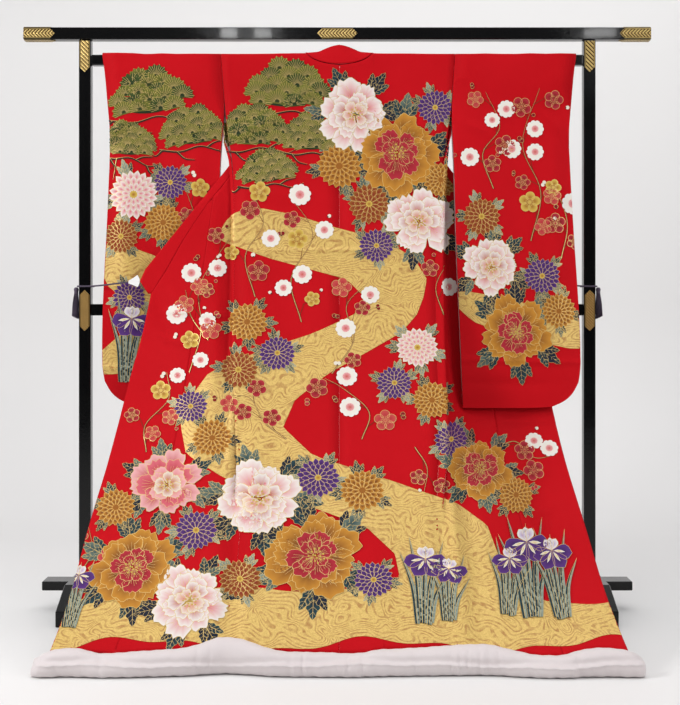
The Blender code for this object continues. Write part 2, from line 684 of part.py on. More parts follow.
# --- collar --------------------------------------------------------------------------------------
def neck_stations(sign):
    """The collar from the nape to the rail's rear edge: seam point and free edge point."""
    stations = []
    for seam_x, edge_x, edge_y, edge_z in NECK:
        depth, z = over_rail(neck_run(seam_x) - COLLAR_STEP, COLLAR_LIFT)
        stations.append((panel_point(sign * seam_x, -depth, z),
                         panel_point(sign * edge_x, edge_y, edge_z)))
    seam_x = NECK_HALF_WIDTH - 5 * SEAM
    for share, rise in ((0.25, 0.0035), (0.72, 0.0018), (0.90, 0.0008), (1.05, 0.0)):
        depth, z = over_rail(ARC_END_RUN * share, COLLAR_LIFT)
        stations.append((panel_point(sign * seam_x, depth, z),
                         panel_point(sign * COLLAR[0][1], depth + rise / 4, z + rise)))
    return stations


def collar_stations(side):
    sign = side_sign(side)
    stations = neck_stations(sign)
    for z_row in ROW_Z[1:]:
        if z_row < COLLAR[-1][0] - 0.001:
            break
        behind = column(COLLAR, COLLAR_COLUMNS, "behind", z_row)
        part = COLLAR_SEAM * (2.5 if behind > 0 else 1.0)
        seam_x = front("edge", z_row) + (part if z_row < COLLAR_TURN_Z else -COLLAR_SEAM)
        edge_x = column(COLLAR, COLLAR_COLUMNS, "edge", z_row)
        seam_point = outer_point(side, z_row, seam_x)
        if behind > 0:
            seam_point.y += part / 2
        edge_point = outer_point(side, z_row, max(edge_x, seam_x))
        edge_point.x = GARMENT_X + sign * edge_x
        edge_point.y = edge_point.y + behind
        stations.append((seam_point, edge_point))
    return stations


def make_collar(silk, parent):
    left = collar_stations("left")
    right = collar_stations("right")
    grid = []
    for seam_point, edge_point in left[::-1] + right[1:]:
        bend = edge_point.lerp(seam_point, 0.5)
        if seam_point.y < 0 and seam_point.z > NECK_BASE_Z:
            bend.y = seam_point.y
        grid.append([edge_point * (1 - t) ** 2 + bend * (2 * t * (1 - t)) + seam_point * t ** 2
                     for t in (0.0, 0.34, 0.67, 1.0)])
    return make_cloth("collar", grid, silk, parent, COLLAR_WALL)


# --- sleeves -------------------------------------------------------------------------------------
def sleeve(name, z):
    return column(SLEEVE, SLEEVE_COLUMNS, name, z)


def sleeve_outer_edge(z_inner):
    """The outer edge's point level with a height of the inner edge, round the bottom corner."""
    corner_z = SLEEVE_BOTTOM + SLEEVE_CORNER
    if z_inner >= SLEEVE_ARC_FROM:
        return sleeve("outer", z_inner), z_inner
    eighth = SLEEVE_CORNER * math.pi / 4
    straight = SLEEVE_ARC_FROM - corner_z
    run = (SLEEVE_ARC_FROM - z_inner) / (SLEEVE_ARC_FROM - SLEEVE_BOTTOM) * (straight + eighth)
    if run <= straight:
        z = SLEEVE_ARC_FROM - run
        return sleeve("outer", z), z
    turn = (run - straight) / SLEEVE_CORNER
    centre_x = sleeve("outer", corner_z) - SLEEVE_CORNER
    return (centre_x + SLEEVE_CORNER * math.cos(turn), corner_z - SLEEVE_CORNER * math.sin(turn))


def sleeve_bottom_edge(side, share):
    """The bottom edge's point at a share of its length, round the corner's other half."""
    inner = sleeve("inner_" + side, SLEEVE_BOTTOM)
    corner_z = SLEEVE_BOTTOM + SLEEVE_CORNER
    centre_x = sleeve("outer", corner_z) - SLEEVE_CORNER
    straight = centre_x - inner
    run = share * (straight + SLEEVE_CORNER * math.pi / 4)
    if run <= straight:
        return inner + run, SLEEVE_BOTTOM
    turn = (run - straight) / SLEEVE_CORNER
    return (centre_x + SLEEVE_CORNER * math.sin(turn), corner_z - SLEEVE_CORNER * math.cos(turn))


def sleeve_half_gap(side, z, across, down):
    """Half the distance between the bag's walls: they meet where the bag is sewn."""
    open_half = sleeve("half_" + side, z)
    sewn_side = smooth((across - 0.80) / 0.20) * smooth((CUFF_END - z) / 0.045)
    sewn_bottom = smooth((down - 0.90) / 0.10)
    sewn = 1 - (1 - sewn_side) * (1 - sewn_bottom)
    return open_half + (SLEEVE_SEAM_HALF - open_half) * sewn


def make_sleeve_half(name, side, face, silk, parent):
    """Half a sleeve: face is -1 for the viewer's side of the rail, +1 for the far side."""
    sign = side_sign(side)
    top_z = SLEEVE_ROWS[0]
    grid = []
    for run in RAIL_TOP_RUN:
        depth, z = over_rail(run)
        inner = sleeve("inner_" + side, top_z) + 2 * SEAM
        outer = sleeve("outer", top_z)
        grid.append([panel_point(sign * (inner + (outer - inner) * across), face * depth, z)
                     for across in SLEEVE_ACROSS])
    bottom_inner = sleeve("inner_" + side, SLEEVE_BOTTOM)
    corner_x, corner_z = sleeve_outer_edge(SLEEVE_BOTTOM)
    for z_inner in SLEEVE_ROWS:
        down = (top_z - z_inner) / (top_z - SLEEVE_BOTTOM)
        inner = sleeve("inner_" + side, z_inner) + 2 * SEAM * (z_inner > CUFF_END)
        outer, z_outer = sleeve_outer_edge(z_inner)
        row = []
        for across in SLEEVE_ACROSS:
            edge_x, edge_z = sleeve_bottom_edge(side, across)
            bulge_x = edge_x - (bottom_inner + (corner_x - bottom_inner) * across)
            bulge_z = edge_z - (SLEEVE_BOTTOM + (corner_z - SLEEVE_BOTTOM) * across)
            weight = down ** 3
            x = inner + (outer - inner) * across + weight * bulge_x
            z = z_inner + (z_outer - z_inner) * across + weight * bulge_z
            half = sleeve_half_gap(side, z, across, down)
            row.append(panel_point(sign * x, sleeve("middle_" + side, z) + face * half, z))
        grid.append(row)
    if sign * face < 0:
        grid = [row[::-1] for row in grid]
    return make_cloth(name, grid, silk, parent)


# --- hem roll ------------------------------------------------------------------------------------
def hem_line(grids):
    """Points of the panels' lower edges from left to right, each with the cloth's way down."""
    line = []
    for grid in grids:
        for above, point in zip(grid[-2], grid[-1]):
            line.append((point, (point - above).normalized()))
    return sorted(line, key=lambda item: item[0].x)


def roll_ring(point, down, size, height_share):
    """One section of the roll: forward of a hem point, hugging the cloth's end."""
    across = Vector((0.0, down.z, -down.y)).normalized()
    if across.z < 0:
        across.negate()
    start = point + down * ROLL_SEAM
    ring = [start + across * ROLL_SHOULDER]
    for forward, height in ROLL_SECTION:
        y = start.y - ROLL_CENTRE - (forward - ROLL_CENTRE) * size
        ring.append(Vector((point.x, y, start.z * height * height_share)))
    return ring + [start - across * ROLL_SHOULDER]


def make_hem_roll(grids, lining, parent):
    line = hem_line(grids)
    first, last = line[0], line[-1]
    stations = []
    for end, sign in ((first, -1), (last, 1)):
        for share, size in ROLL_TIP:
            beyond = (ROLL_HALF_LENGTH - abs(end[0].x - GARMENT_X)) * share
            point = end[0] + Vector((sign * beyond, 0.0, -0.010 * share))
            stations.append((point, end[1], size))
    stations += [(point, down, 1.0) for point, down in line]
    stations.sort(key=lambda item: item[0].x)
    shape = bmesh.new()
    rings = []
    last_x = None
    for point, down, size in stations:
        if last_x is not None and point.x - last_x < 0.006:
            continue
        last_x = point.x
        wave = 1 + 0.04 * math.sin(point.x * 23 + 0.6)
        ring = roll_ring(point, down, size * wave, size)
        rings.append([shape.verts.new(place) for place in ring])
    count = len(rings[0])
    for left, right in zip(rings, rings[1:]):
        for index in range(count):
            after = (index + 1) % count
            shape.faces.new((left[index], left[after], right[after], right[index]))
    shape.faces.new(rings[0][::-1])
    shape.faces.new(rings[-1])
    bmesh.ops.recalc_face_normals(shape, faces=shape.faces)
    mesh = bpy.data.meshes.new("hem_roll")
    shape.to_mesh(mesh)
    shape.free()
    return add_object("hem_roll", mesh, lining, parent, smooth_shade=True)


# --- ties ----------------------------------------------------------------------------------------
def smooth_route(route, step):
    """Points every step along one smooth curve through the route's own points."""
    points = [Vector(point) for point in route]
    padded = [points[0] * 2 - points[1]] + points + [points[-1] * 2 - points[-2]]
    dense = []
    for a, b, c, d in zip(padded, padded[1:], padded[2:], padded[3:]):
        for index in range(8):
            t = index / 8
            dense.append(0.5 * (2 * b + (c - a) * t + (2 * a - 5 * b + 4 * c - d) * t * t
                                + (3 * b - a - 3 * c + d) * t ** 3))
    dense.append(points[-1])
    kept = [dense[0]]
    for point in dense[1:-1]:
        if (point - kept[-1]).length >= step and (point - dense[-1]).length >= step * 0.6:
            kept.append(point)
    return kept + [dense[-1]]


def make_tube(name, points, diameter, closed, shade, parent):
    curve = bpy.data.curves.new(name, "CURVE")
    curve.dimensions = "3D"
    curve.bevel_depth = diameter / 2
    curve.bevel_resolution = 2
    curve.use_fill_caps = not closed
    spline = curve.splines.new("POLY")
    spline.points.add(len(points) - 1)
    for target, point in zip(spline.points, points):
        target.co = (*point, 1.0)
    spline.use_cyclic_u = closed
    made = bpy.data.objects.new(name, curve)
    bpy.context.scene.collection.objects.link(made)
    made.parent = parent
    curve.materials.append(shade)
    return made


def loop_points(centre_x, half, corner, z):
    """A square with round corners about a post."""
    points = []
    for quarter in range(4):
        middle = math.pi / 4 + quarter * math.pi / 2
        x0 = centre_x + math.copysign(half - corner, math.cos(middle))
        y0 = math.copysign(half - corner, math.sin(middle))
        for step in range(4):
            turn = quarter * math.pi / 2 + step * math.pi / 6
            points.append((x0 + corner * math.cos(turn), y0 + corner * math.sin(turn), z))
    return points


def make_tassel(name, x, y, top, shade, parent):
    """A turned head whose underside grows one three-sided strand from each inset face."""
    shape = bmesh.new()
    profile = TASSEL_PROFILE
    sides = TASSEL_SIDES
    rings = []
    for radius, drop in profile:
        rings.append([shape.verts.new((x + radius * math.cos(math.tau * i / sides),
                                       y + radius * math.sin(math.tau * i / sides), top + drop))
                      for i in range(sides)])
    for upper, lower in zip(rings, rings[1:]):
        for i in range(sides):
            j = (i + 1) % sides
            shape.faces.new((upper[i], lower[i], lower[j], upper[j]))
    shape.faces.new(rings[0])
    inner_drop = profile[-1][1]
    middle = [shape.verts.new((x + TASSEL_CORE * math.cos(math.tau * i / sides),
                               y + TASSEL_CORE * math.sin(math.tau * i / sides), top + inner_drop))
              for i in range(0, sides, 2)]
    centre = shape.verts.new((x, y, top + inner_drop))
    roots = []
    outer = rings[-1]
    for i in range(0, sides, 2):
        k = i // 2
        after = (k + 1) % len(middle)
        roots.append(shape.faces.new((outer[i], middle[k], outer[i + 1])))
        roots.append(shape.faces.new((outer[i + 1], middle[k], middle[after])))
        roots.append(shape.faces.new((outer[i + 1], middle[after], outer[(i + 2) % sides])))
        roots.append(shape.faces.new((middle[k], centre, middle[after])))
    bmesh.ops.recalc_face_normals(shape, faces=shape.faces)
    bmesh.ops.inset_individual(shape, faces=roots, thickness=TASSEL_SLIT)
    strands = bmesh.ops.extrude_discrete_faces(shape, faces=roots)["faces"]
    length = TASSEL_LENGTH - TASSEL_HEAD
    for index, strand in enumerate(strands):
        uneven = TASSEL_UNEVEN * math.sin(index * 2.4)
        for vert in strand.verts:
            out = Vector((vert.co.x - x, vert.co.y - y, 0.0))
            vert.co += out * (TASSEL_RADIUS / profile[-1][0] - 1)
            vert.co.z -= length - abs(uneven)
    bmesh.ops.recalc_face_normals(shape, faces=shape.faces)
    mesh = bpy.data.meshes.new(name)
    shape.to_mesh(mesh)
    shape.free()
    return add_object(name, mesh, shade, parent)


def make_ties(cord, white, parent):
    radius = CORD_DIAMETER / 2
    for side in ("left", "right"):
        sign = side_sign(side)
        half = POST_SIZE / 2 + radius + LOOP_SLACK
        make_tube("cord_loop_" + side, loop_points(sign * POST_X, half, LOOP_CORNER, TIE_Z), CORD_DIAMETER,
                  True, cord, parent)
        route = list(CORD_ROUTE[side])
        first = Vector(route[0])
        route[0] = (first.x, -half - CORD_DIAMETER - LOOP_SLACK, first.z)
        make_tube("cord_" + side, smooth_route(route, 2.2 * CORD_DIAMETER), CORD_DIAMETER, False,
                  cord, parent)
        tassel_x = sign * (POST_X + half + 0.0065)
        make_tassel("tassel_" + side, tassel_x, -0.004, TIE_Z - radius - GAP, cord, parent)
        tip_x, tip_y, tip_z = CORD_ROUTE[side][-1]
        collar_x = GARMENT_X + sign * (column(COLLAR, COLLAR_COLUMNS, "edge", 0.945) + 0.0006)
        near = tip_x - sign * LOOP_SLACK
        low, high = CLIP_REACH
        fan = ((near, tip_z - CLIP_STEM), (collar_x, tip_z + low), (collar_x, tip_z + high),
               (near, tip_z + CLIP_STEM))
        make_prism("clip_" + side, fan, "Y", tip_y - CLIP_THICKNESS / 2, tip_y + CLIP_THICKNESS / 2,
                   white, parent)


# --- the whole part ------------------------------------------------------------------------------
def main():
    clear_scene()
    origin = bpy.data.objects.new("posts_line", None)
    bpy.context.scene.collection.objects.link(origin)
    origin.location = (0.0, ORIGIN_TO_POSTS, 0.0)
    lacquer = material("black_lacquer", BLACK_LACQUER, 0.12)
    gilt = material("gilt", GILT, 0.32, 1.0)
    silk = material("red_silk", RED_SILK, 0.55)
    lining = material("pale_lining", PALE_LINING, 0.6)
    cord = material("purple_cord", PURPLE_CORD, 0.7)
    white = material("white_clip", WHITE_CLIP, 0.4)
    make_stand(lacquer, origin)
    make_fittings(gilt, origin)
    panels = []
    for side in ("left", "right"):
        panels += [make_back(side, silk, origin), make_front(side, silk, origin),
                   make_overlap(side, silk, origin)]
        make_sleeve_half("sleeve_%s_outer" % side, side, -1, silk, origin)
        make_sleeve_half("sleeve_%s_inner" % side, side, 1, silk, origin)
    make_collar(silk, origin)
    make_hem_roll(panels, lining, origin)
    make_ties(cord, white, origin)
    bpy.context.view_layer.update()


main()
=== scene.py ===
import heapq
import math
import random

import bmesh
import bpy
import numpy as np
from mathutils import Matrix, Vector
from mathutils.bvhtree import BVHTree


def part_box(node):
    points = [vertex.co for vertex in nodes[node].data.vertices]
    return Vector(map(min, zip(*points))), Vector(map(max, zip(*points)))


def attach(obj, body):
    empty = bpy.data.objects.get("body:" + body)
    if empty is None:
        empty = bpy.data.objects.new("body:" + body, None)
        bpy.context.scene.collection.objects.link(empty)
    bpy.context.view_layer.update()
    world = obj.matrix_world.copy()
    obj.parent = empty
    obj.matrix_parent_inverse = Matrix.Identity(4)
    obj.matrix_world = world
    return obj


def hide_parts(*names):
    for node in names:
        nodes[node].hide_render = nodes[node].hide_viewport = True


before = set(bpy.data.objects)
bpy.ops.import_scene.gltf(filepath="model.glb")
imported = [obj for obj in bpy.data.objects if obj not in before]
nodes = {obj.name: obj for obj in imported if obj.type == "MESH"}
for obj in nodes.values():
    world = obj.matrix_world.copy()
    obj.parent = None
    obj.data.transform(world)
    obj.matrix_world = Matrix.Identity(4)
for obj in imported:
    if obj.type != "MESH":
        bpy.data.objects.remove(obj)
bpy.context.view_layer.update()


# --- camera, lamps and floor -----------------------------------------------------------------------
# A plain pale studio: one floor that curves up into the backdrop, which is clear from behind, with
# soft lamps round it and three small ones that the lacquer reflects.  The camera looks level.
GARMENT_X = 0.006
CAMERA_AWAY, CAMERA_HIGH = 3.8175, 0.858
FLOOR_HALF, FLOOR_BACK, BACKDROP_TOP, SWEEP = 6.0, 1.3, 5.0, 0.9
posts_y = (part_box("post_left")[0].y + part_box("post_left")[1].y) / 2


def plain_node(tree, kind, **values):
    """A shader node with its settings and its inputs' values."""
    made = tree.nodes.new(kind)
    for key, value in values.items():
        if hasattr(made, key):
            setattr(made, key, value)
        else:
            made.inputs[key.replace("_", " ")].default_value = value
    return made


def ramp_node(tree, low, high, low_at=0.0, high_at=1.0):
    """A ramp between two colours."""
    made = plain_node(tree, "ShaderNodeValToRGB")
    for stop, at, colour in zip(made.color_ramp.elements, (low_at, high_at), (low, high)):
        stop.position, stop.color = at, (*colour, 1)
    return made


def wire(tree, *links):
    """Joins nodes: each link is a node, its output, another node and that one's input."""
    for source, output, target, entry in links:
        tree.links.new(source.outputs[output], target.inputs[entry])


def new_material(name, colour, roughness, metallic=0.0, **values):
    """A material, its node tree and its shader, whose other inputs are given by name."""
    made = bpy.data.materials.new(name)
    made.use_nodes = True
    shader = made.node_tree.nodes["Principled BSDF"]
    values.update(Base_Color=(*colour, 1), Roughness=roughness, Metallic=metallic)
    for key, value in values.items():
        shader.inputs[key.replace("_", " ")].default_value = value
    return made, made.node_tree, shader


def cover(thing, look):
    """Gives an object one material and no other."""
    thing.data.materials.clear()
    thing.data.materials.append(look)


def mesh_piece(name, points, faces, look, smooth_shade=True):
    """An object made of these points and faces."""
    mesh = bpy.data.meshes.new(name)
    mesh.from_pydata([tuple(point) for point in points], [], faces)
    mesh.validate()
    if smooth_shade:
        mesh.shade_smooth()
    piece = bpy.data.objects.new(name, mesh)
    bpy.context.scene.collection.objects.link(piece)
    cover(piece, look)
    return piece


camera_data = bpy.data.cameras.new("camera")
camera_data.lens = 67.5
camera_data.sensor_width = 36.0
camera_data.shift_y = -0.0574
camera = bpy.data.objects.new("camera", camera_data)
camera.location = (0.008, posts_y - CAMERA_AWAY, CAMERA_HIGH)
camera.rotation_euler = (math.radians(90), 0, 0)
bpy.context.scene.collection.objects.link(camera)
bpy.context.scene.camera = camera
bpy.context.scene.view_settings.view_transform = "Standard"

world = bpy.data.worlds.new("studio")
world.use_nodes = True
bpy.context.scene.world = world
sky_tree = world.node_tree
sky = sky_tree.nodes["Background"]
sky.inputs["Strength"].default_value = 0.54
sky_place = plain_node(sky_tree, "ShaderNodeTexCoord")
sky_split = plain_node(sky_tree, "ShaderNodeSeparateXYZ")
sky_front = plain_node(sky_tree, "ShaderNodeMapRange", From_Min=-0.95, From_Max=-0.55)
sky_high = plain_node(sky_tree, "ShaderNodeMapRange", From_Min=0.10, From_Max=0.45)
sky_light = plain_node(sky_tree, "ShaderNodeMath", operation="MAXIMUM")
sky_ramp = ramp_node(sky_tree, (0.10, 0.10, 0.11), (0.96, 0.97, 1.0))
wire(sky_tree, (sky_place, "Generated", sky_split, "Vector"), (sky_split, "Y", sky_front, "Value"),
     (sky_split, "Z", sky_high, "Value"), (sky_front, "Result", sky_light, 0),
     (sky_high, "Result", sky_light, 1), (sky_light, 0, sky_ramp, "Fac"), (sky_ramp, "Color", sky, "Color"))

# Lamps: name, place and aim from the posts' plane, width and height, power in watts.
for name, place, aim, size, power in (
        ("lamp_left", (-3.35, -2.1, 2.35), (0, -0.2, 0.9), (1.0, 1.3), 101),
        ("lamp_right", (2.9, -2.9, 2.0), (0, -0.2, 0.8), (1.5, 2.0), 46),
        ("lamp_above", (0.0, -1.0, 3.6), (0, -0.3, 0.0), (3.2, 2.2), 36),
        ("lamp_streak_left", (-0.630, -3.8, 2.46), (-0.30, 0, 1.66), (0.09, 0.05), 0.8),
        ("lamp_streak_middle", (-0.435, -3.8, 2.46), (-0.20, 0, 1.66), (0.09, 0.05), 0.7),
        ("lamp_streak_right", (1.50, -3.8, 2.46), (0.76, 0, 1.66), (0.18, 0.05), 0.9),
        ("lamp_backdrop", (1.2, 0.5, 3.5), (0.8, 2.2, 1.3), (3.6, 1.0), 24)):
    lamp_data = bpy.data.lights.new(name, "AREA")
    lamp_data.shape = "RECTANGLE"
    lamp_data.size, lamp_data.size_y = size
    lamp_data.energy = power
    lamp = bpy.data.objects.new(name, lamp_data)
    lamp.location = Vector(place) + Vector((0, posts_y, 0))
    lamp.rotation_euler = (Vector(aim) - Vector(place)).to_track_quat("-Z", "Y").to_euler()
    bpy.context.scene.collection.objects.link(lamp)

floor_paint, floor_tree, floor_shader = new_material("pale_floor", (0.740, 0.731, 0.722), 0.6)
floor_rear = plain_node(floor_tree, "ShaderNodeNewGeometry")
floor_clear = plain_node(floor_tree, "ShaderNodeBsdfTransparent")
floor_mix = plain_node(floor_tree, "ShaderNodeMixShader")
wire(floor_tree, (floor_rear, "Backfacing", floor_mix, 0), (floor_shader, "BSDF", floor_mix, 1),
     (floor_clear, "BSDF", floor_mix, 2),
     (floor_mix, "Shader", floor_tree.nodes["Material Output"], "Surface"))
sweep_angles = [math.radians(9 * step) for step in range(1, 11)]
profile = [(-FLOOR_HALF, 0.0), (FLOOR_BACK, 0.0)]
profile += [(FLOOR_BACK + SWEEP * math.sin(a), SWEEP - SWEEP * math.cos(a)) for a in sweep_angles]
profile += [(FLOOR_BACK + SWEEP, BACKDROP_TOP)]
floor_points = [(x, posts_y + y, z) for y, z in profile for x in (-FLOOR_HALF, FLOOR_HALF)]
floor_faces = [(2 * i, 2 * i + 1, 2 * i + 3, 2 * i + 2) for i in range(len(profile) - 1)]
floor = mesh_piece("studio_floor", floor_points, floor_faces, floor_paint)


# --- tie cords -------------------------------------------------------------------------------------
# Two dull purple silk cords, three strands twisted together.  Each leaves the turns round its post
# and runs taut to a small fan-shaped clip at the tip of the collar, which it holds outwards.
CORD_RADIUS = 0.0025
CORD_LAY = 0.011
CORD_SPAN = 0.0012
POST_X = 0.726
TIE_Z = 0.932


def on_object(tree, kind, **values):
    """A node fed with places on the object itself, in metres."""
    made = plain_node(tree, kind, **values)
    wire(tree, (plain_node(tree, "ShaderNodeTexCoord"), "Object", made, "Vector"))
    return made


def raise_surface(tree, shader, source, output, strength, distance):
    """Bumps a shader's surface by what a node puts out."""
    bump = plain_node(tree, "ShaderNodeBump", Strength=strength, Distance=distance)
    wire(tree, (source, output, bump, "Height"), (bump, "Normal", shader, "Normal"))


silk_cord, cord_tree, cord_shader = new_material("purple_silk_cord", (0.075, 0.055, 0.11), 0.62,
                                                 Sheen_Weight=0.20, Sheen_Tint=(0.50, 0.42, 0.58, 1))
cord_fibre = on_object(cord_tree, "ShaderNodeTexNoise", Scale=900.0, Detail=2.0)
cord_ramp = ramp_node(cord_tree, (0.022, 0.014, 0.030), (0.080, 0.054, 0.092))
wire(cord_tree, (cord_fibre, "Fac", cord_ramp, "Fac"), (cord_ramp, "Color", cord_shader, "Base Color"))
raise_surface(cord_tree, cord_shader, cord_fibre, "Fac", 0.5, 0.0004)


def evenly(points, step, closed=False):
    """The same line with points every step along it."""
    line = [Vector(p) for p in points] + ([Vector(points[0])] if closed else [])
    lengths = [0.0]
    for a, b in zip(line, line[1:]):
        lengths.append(lengths[-1] + (b - a).length)
    count = max(2, round(lengths[-1] / step))
    made, index = [], 0
    for number in range(count + 1):
        at = lengths[-1] * number / count
        while index < len(lengths) - 2 and lengths[index + 1] < at:
            index += 1
        share = (at - lengths[index]) / max(lengths[index + 1] - lengths[index], 1e-9)
        made.append(line[index].lerp(line[index + 1], share))
    return made[:-1] if closed else made


def smooth_line(points, per_span=7):
    """Points of one smooth curve through these points, which are vectors or complex numbers."""
    padded = [points[0] * 2 - points[1], *points, points[-1] * 2 - points[-2]]
    made = []
    for a, b, c, d in zip(padded, padded[1:], padded[2:], padded[3:]):
        for index in range(per_span):
            t = index / per_span
            made.append(0.5 * (2 * b + (c - a) * t + (2 * a - 5 * b + 4 * c - d) * t * t
                               + (3 * b - a - 3 * c + d) * t ** 3))
    return made + [points[-1]]


def tube_faces(rings, sides, start=0, closed=False):
    """Faces between rings of points, the first of which begins at start; closed joins the tube's ends."""
    faces = []
    for i in range(rings if closed else rings - 1):
        a, b = start + i * sides, start + (i + 1) % rings * sides
        faces += [(a + k, b + k, b + (k + 1) % sides, a + (k + 1) % sides) for k in range(sides)]
    return faces


def twisted_cord(name, line, closed=False):
    """A mesh tube of three strands that turn once in each length of lay."""
    points, run, count, sides = [], 0.0, len(line), 12
    for i, point in enumerate(line):
        before = line[i - 1] if i or closed else line[0]
        after = line[(i + 1) % count] if i < count - 1 or closed else line[-1]
        along = (after - before).normalized()
        side = along.cross(Vector((0, 0, 1))).normalized()
        up = side.cross(along)
        if i:
            run += (point - line[i - 1]).length
        for k in range(sides):
            turn = math.tau * k / sides
            lobe = abs(math.cos(1.5 * (turn - math.tau * run / CORD_LAY)))
            here = CORD_RADIUS * (0.80 + 0.20 * lobe)
            points.append(point + (side * math.cos(turn) + up * math.sin(turn)) * here)
    faces = tube_faces(count, sides, closed=closed)
    if not closed:
        faces += [tuple(range(sides)), tuple(reversed(range((count - 1) * sides, count * sides)))]
    return mesh_piece(name, points, faces, silk_cord)


CORD_START_Y = -0.0287
CORD_ROUTE = {
    "left": ((-0.7130, CORD_START_Y, 0.9320), (-0.6980, -0.0300, 0.9325), (-0.6750, -0.0435, 0.9340),
             (-0.6450, -0.0545, 0.9370), (-0.6150, -0.0620, 0.9405), (-0.5935, -0.0650, 0.9430)),
    "right": ((0.7130, CORD_START_Y, 0.9320), (0.6980, -0.0258, 0.9328), (0.6750, -0.0285, 0.9345),
              (0.6500, -0.0300, 0.9370), (0.6250, -0.0308, 0.9400), (0.6060, -0.0310, 0.9430)),
}
cords = {}
for side in ("left", "right"):
    route = [(x, posts_y + y, z) for x, y, z in CORD_ROUTE[side]]
    line = evenly(smooth_line([Vector(point) for point in route], 8), CORD_SPAN)
    cord = twisted_cord("tie_cord_" + side, line)
    length = sum((b - a).length for a, b in zip(line, line[1:]))
    cords[side] = (cord, route, line, length)


# --- stand -----------------------------------------------------------------------------------------
# Square wooden bars and posts under deep black lacquer, rubbed to a gloss: it is unevenly polished,
# with faint ripples in the coat and a little fine dust.
lacquer, lacquer_tree, lacquer_shader = new_material(
    "black_lacquer", (0.002, 0.002, 0.002), 0.13,
    Specular_IOR_Level=0.2, Coat_Weight=0.15, Coat_Roughness=0.04)
lacquer_cloud = on_object(lacquer_tree, "ShaderNodeTexNoise", Scale=9.0, Detail=5.0)
lacquer_fine = on_object(lacquer_tree, "ShaderNodeTexNoise", Scale=420.0, Detail=3.0)
lacquer_ripple = on_object(lacquer_tree, "ShaderNodeTexNoise", Scale=140.0, Detail=2.0)
lacquer_tone = plain_node(lacquer_tree, "ShaderNodeMapRange", From_Min=0.35, From_Max=0.75,
                          To_Min=0.10, To_Max=0.20)
lacquer_dust = ramp_node(lacquer_tree, (0.0012, 0.0012, 0.0014), (0.007, 0.0065, 0.006), 0.45, 0.9)
wire(lacquer_tree, (lacquer_cloud, "Fac", lacquer_tone, "Value"),
     (lacquer_tone, "Result", lacquer_shader, "Roughness"), (lacquer_fine, "Fac", lacquer_dust, "Fac"),
     (lacquer_dust, "Color", lacquer_shader, "Base Color"))
raise_surface(lacquer_tree, lacquer_shader, lacquer_ripple, "Fac", 0.28, 0.0004)
for name in ("top_bar", "hanging_rail", "middle_rail", "lower_rail", "lower_rail_end_left",
             "lower_rail_end_right", "post_left", "post_right", "foot_left", "foot_right"):
    cover(nodes[name], lacquer)


# --- gilt fittings ---------------------------------------------------------------------------------
# Thin plates of gilt brass, pinned round the bars' ends and the posts: their faces are chased with
# slanting feathers between two plain raised edges, and the cuts have darkened with age.
PLATE_HALF = 0.0145
RIM_WIDTH, GROOVE_WIDTH = 0.0022, 0.0032


def mix_node(tree, low=(0, 0, 0), high=(0, 0, 0)):
    """A mix of two colours, either of which may be wired in later."""
    return plain_node(tree, "ShaderNodeMix", data_type="RGBA", A=(*low, 1), B=(*high, 1))


def new_group(name, takes, gives):
    """An empty shader group, with the nodes where its sockets come in and go out."""
    group = bpy.data.node_groups.new(name, "ShaderNodeTree")
    for way, sockets in (("INPUT", takes), ("OUTPUT", gives)):
        for label, kind in sockets.items():
            group.interface.new_socket(label, in_out=way, socket_type="NodeSocket" + kind)
    return group, group.nodes.new("NodeGroupInput"), group.nodes.new("NodeGroupOutput")


def math_steps(tree):
    """Gives a function that adds a Math node to the tree, fed with numbers or outputs."""
    def step(operation, *terms):
        made = plain_node(tree, "ShaderNodeMath", operation=operation)
        for entry, term in zip(made.inputs, terms):
            if isinstance(term, (int, float)):
                entry.default_value = term
            else:
                tree.links.new(term, entry)
        return made.outputs[0]
    return step


def chased_group():
    """Cuts on a plate: Run is along it and Across from its middle line, in metres; Fine is how close
    they stand, and One Way is 0 for feathers that meet in the middle and 1 for strokes all one way."""
    group, enter, leave = new_group(
        "chased_feathers", {"Run": "Float", "Across": "Float", "Fine": "Float", "One Way": "Float"},
        {"Cuts": "Float", "Height": "Float"})
    run, across, fine, one_way = (enter.outputs[label] for label in ("Run", "Across", "Fine", "One Way"))
    step = math_steps(group)
    side = step("ABSOLUTE", across)
    other = step("SUBTRACT", step("MULTIPLY", across, -1.0), side)
    lean = step("ADD", side, step("MULTIPLY", one_way, other))
    run = step("MULTIPLY", run, fine)
    slant = step("ADD", run, step("MULTIPLY", step("MULTIPLY", lean, fine), -1.0))
    feather = step("SINE", slant)
    vein = step("SINE", step("ADD", step("MULTIPLY", run, 3.0), step("MULTIPLY", lean, 900.0)))
    pattern = step("ADD", step("MULTIPLY", feather, 0.8), step("MULTIPLY", vein, 0.2))
    rim = step("GREATER_THAN", side, PLATE_HALF - RIM_WIDTH)
    outside = step("GREATER_THAN", side, PLATE_HALF - GROOVE_WIDTH)
    inside = step("SUBTRACT", 1.0, outside)
    groove = step("MULTIPLY", outside, step("SUBTRACT", 1.0, rim))
    height = step("ADD", step("MULTIPLY", pattern, inside), step("SUBTRACT", rim, groove))
    cuts = step("MAXIMUM", step("MULTIPLY", step("LESS_THAN", pattern, -0.30), inside), groove)
    group.links.new(cuts, leave.inputs["Cuts"])
    group.links.new(height, leave.inputs["Height"])
    return group


CHASED = chased_group()


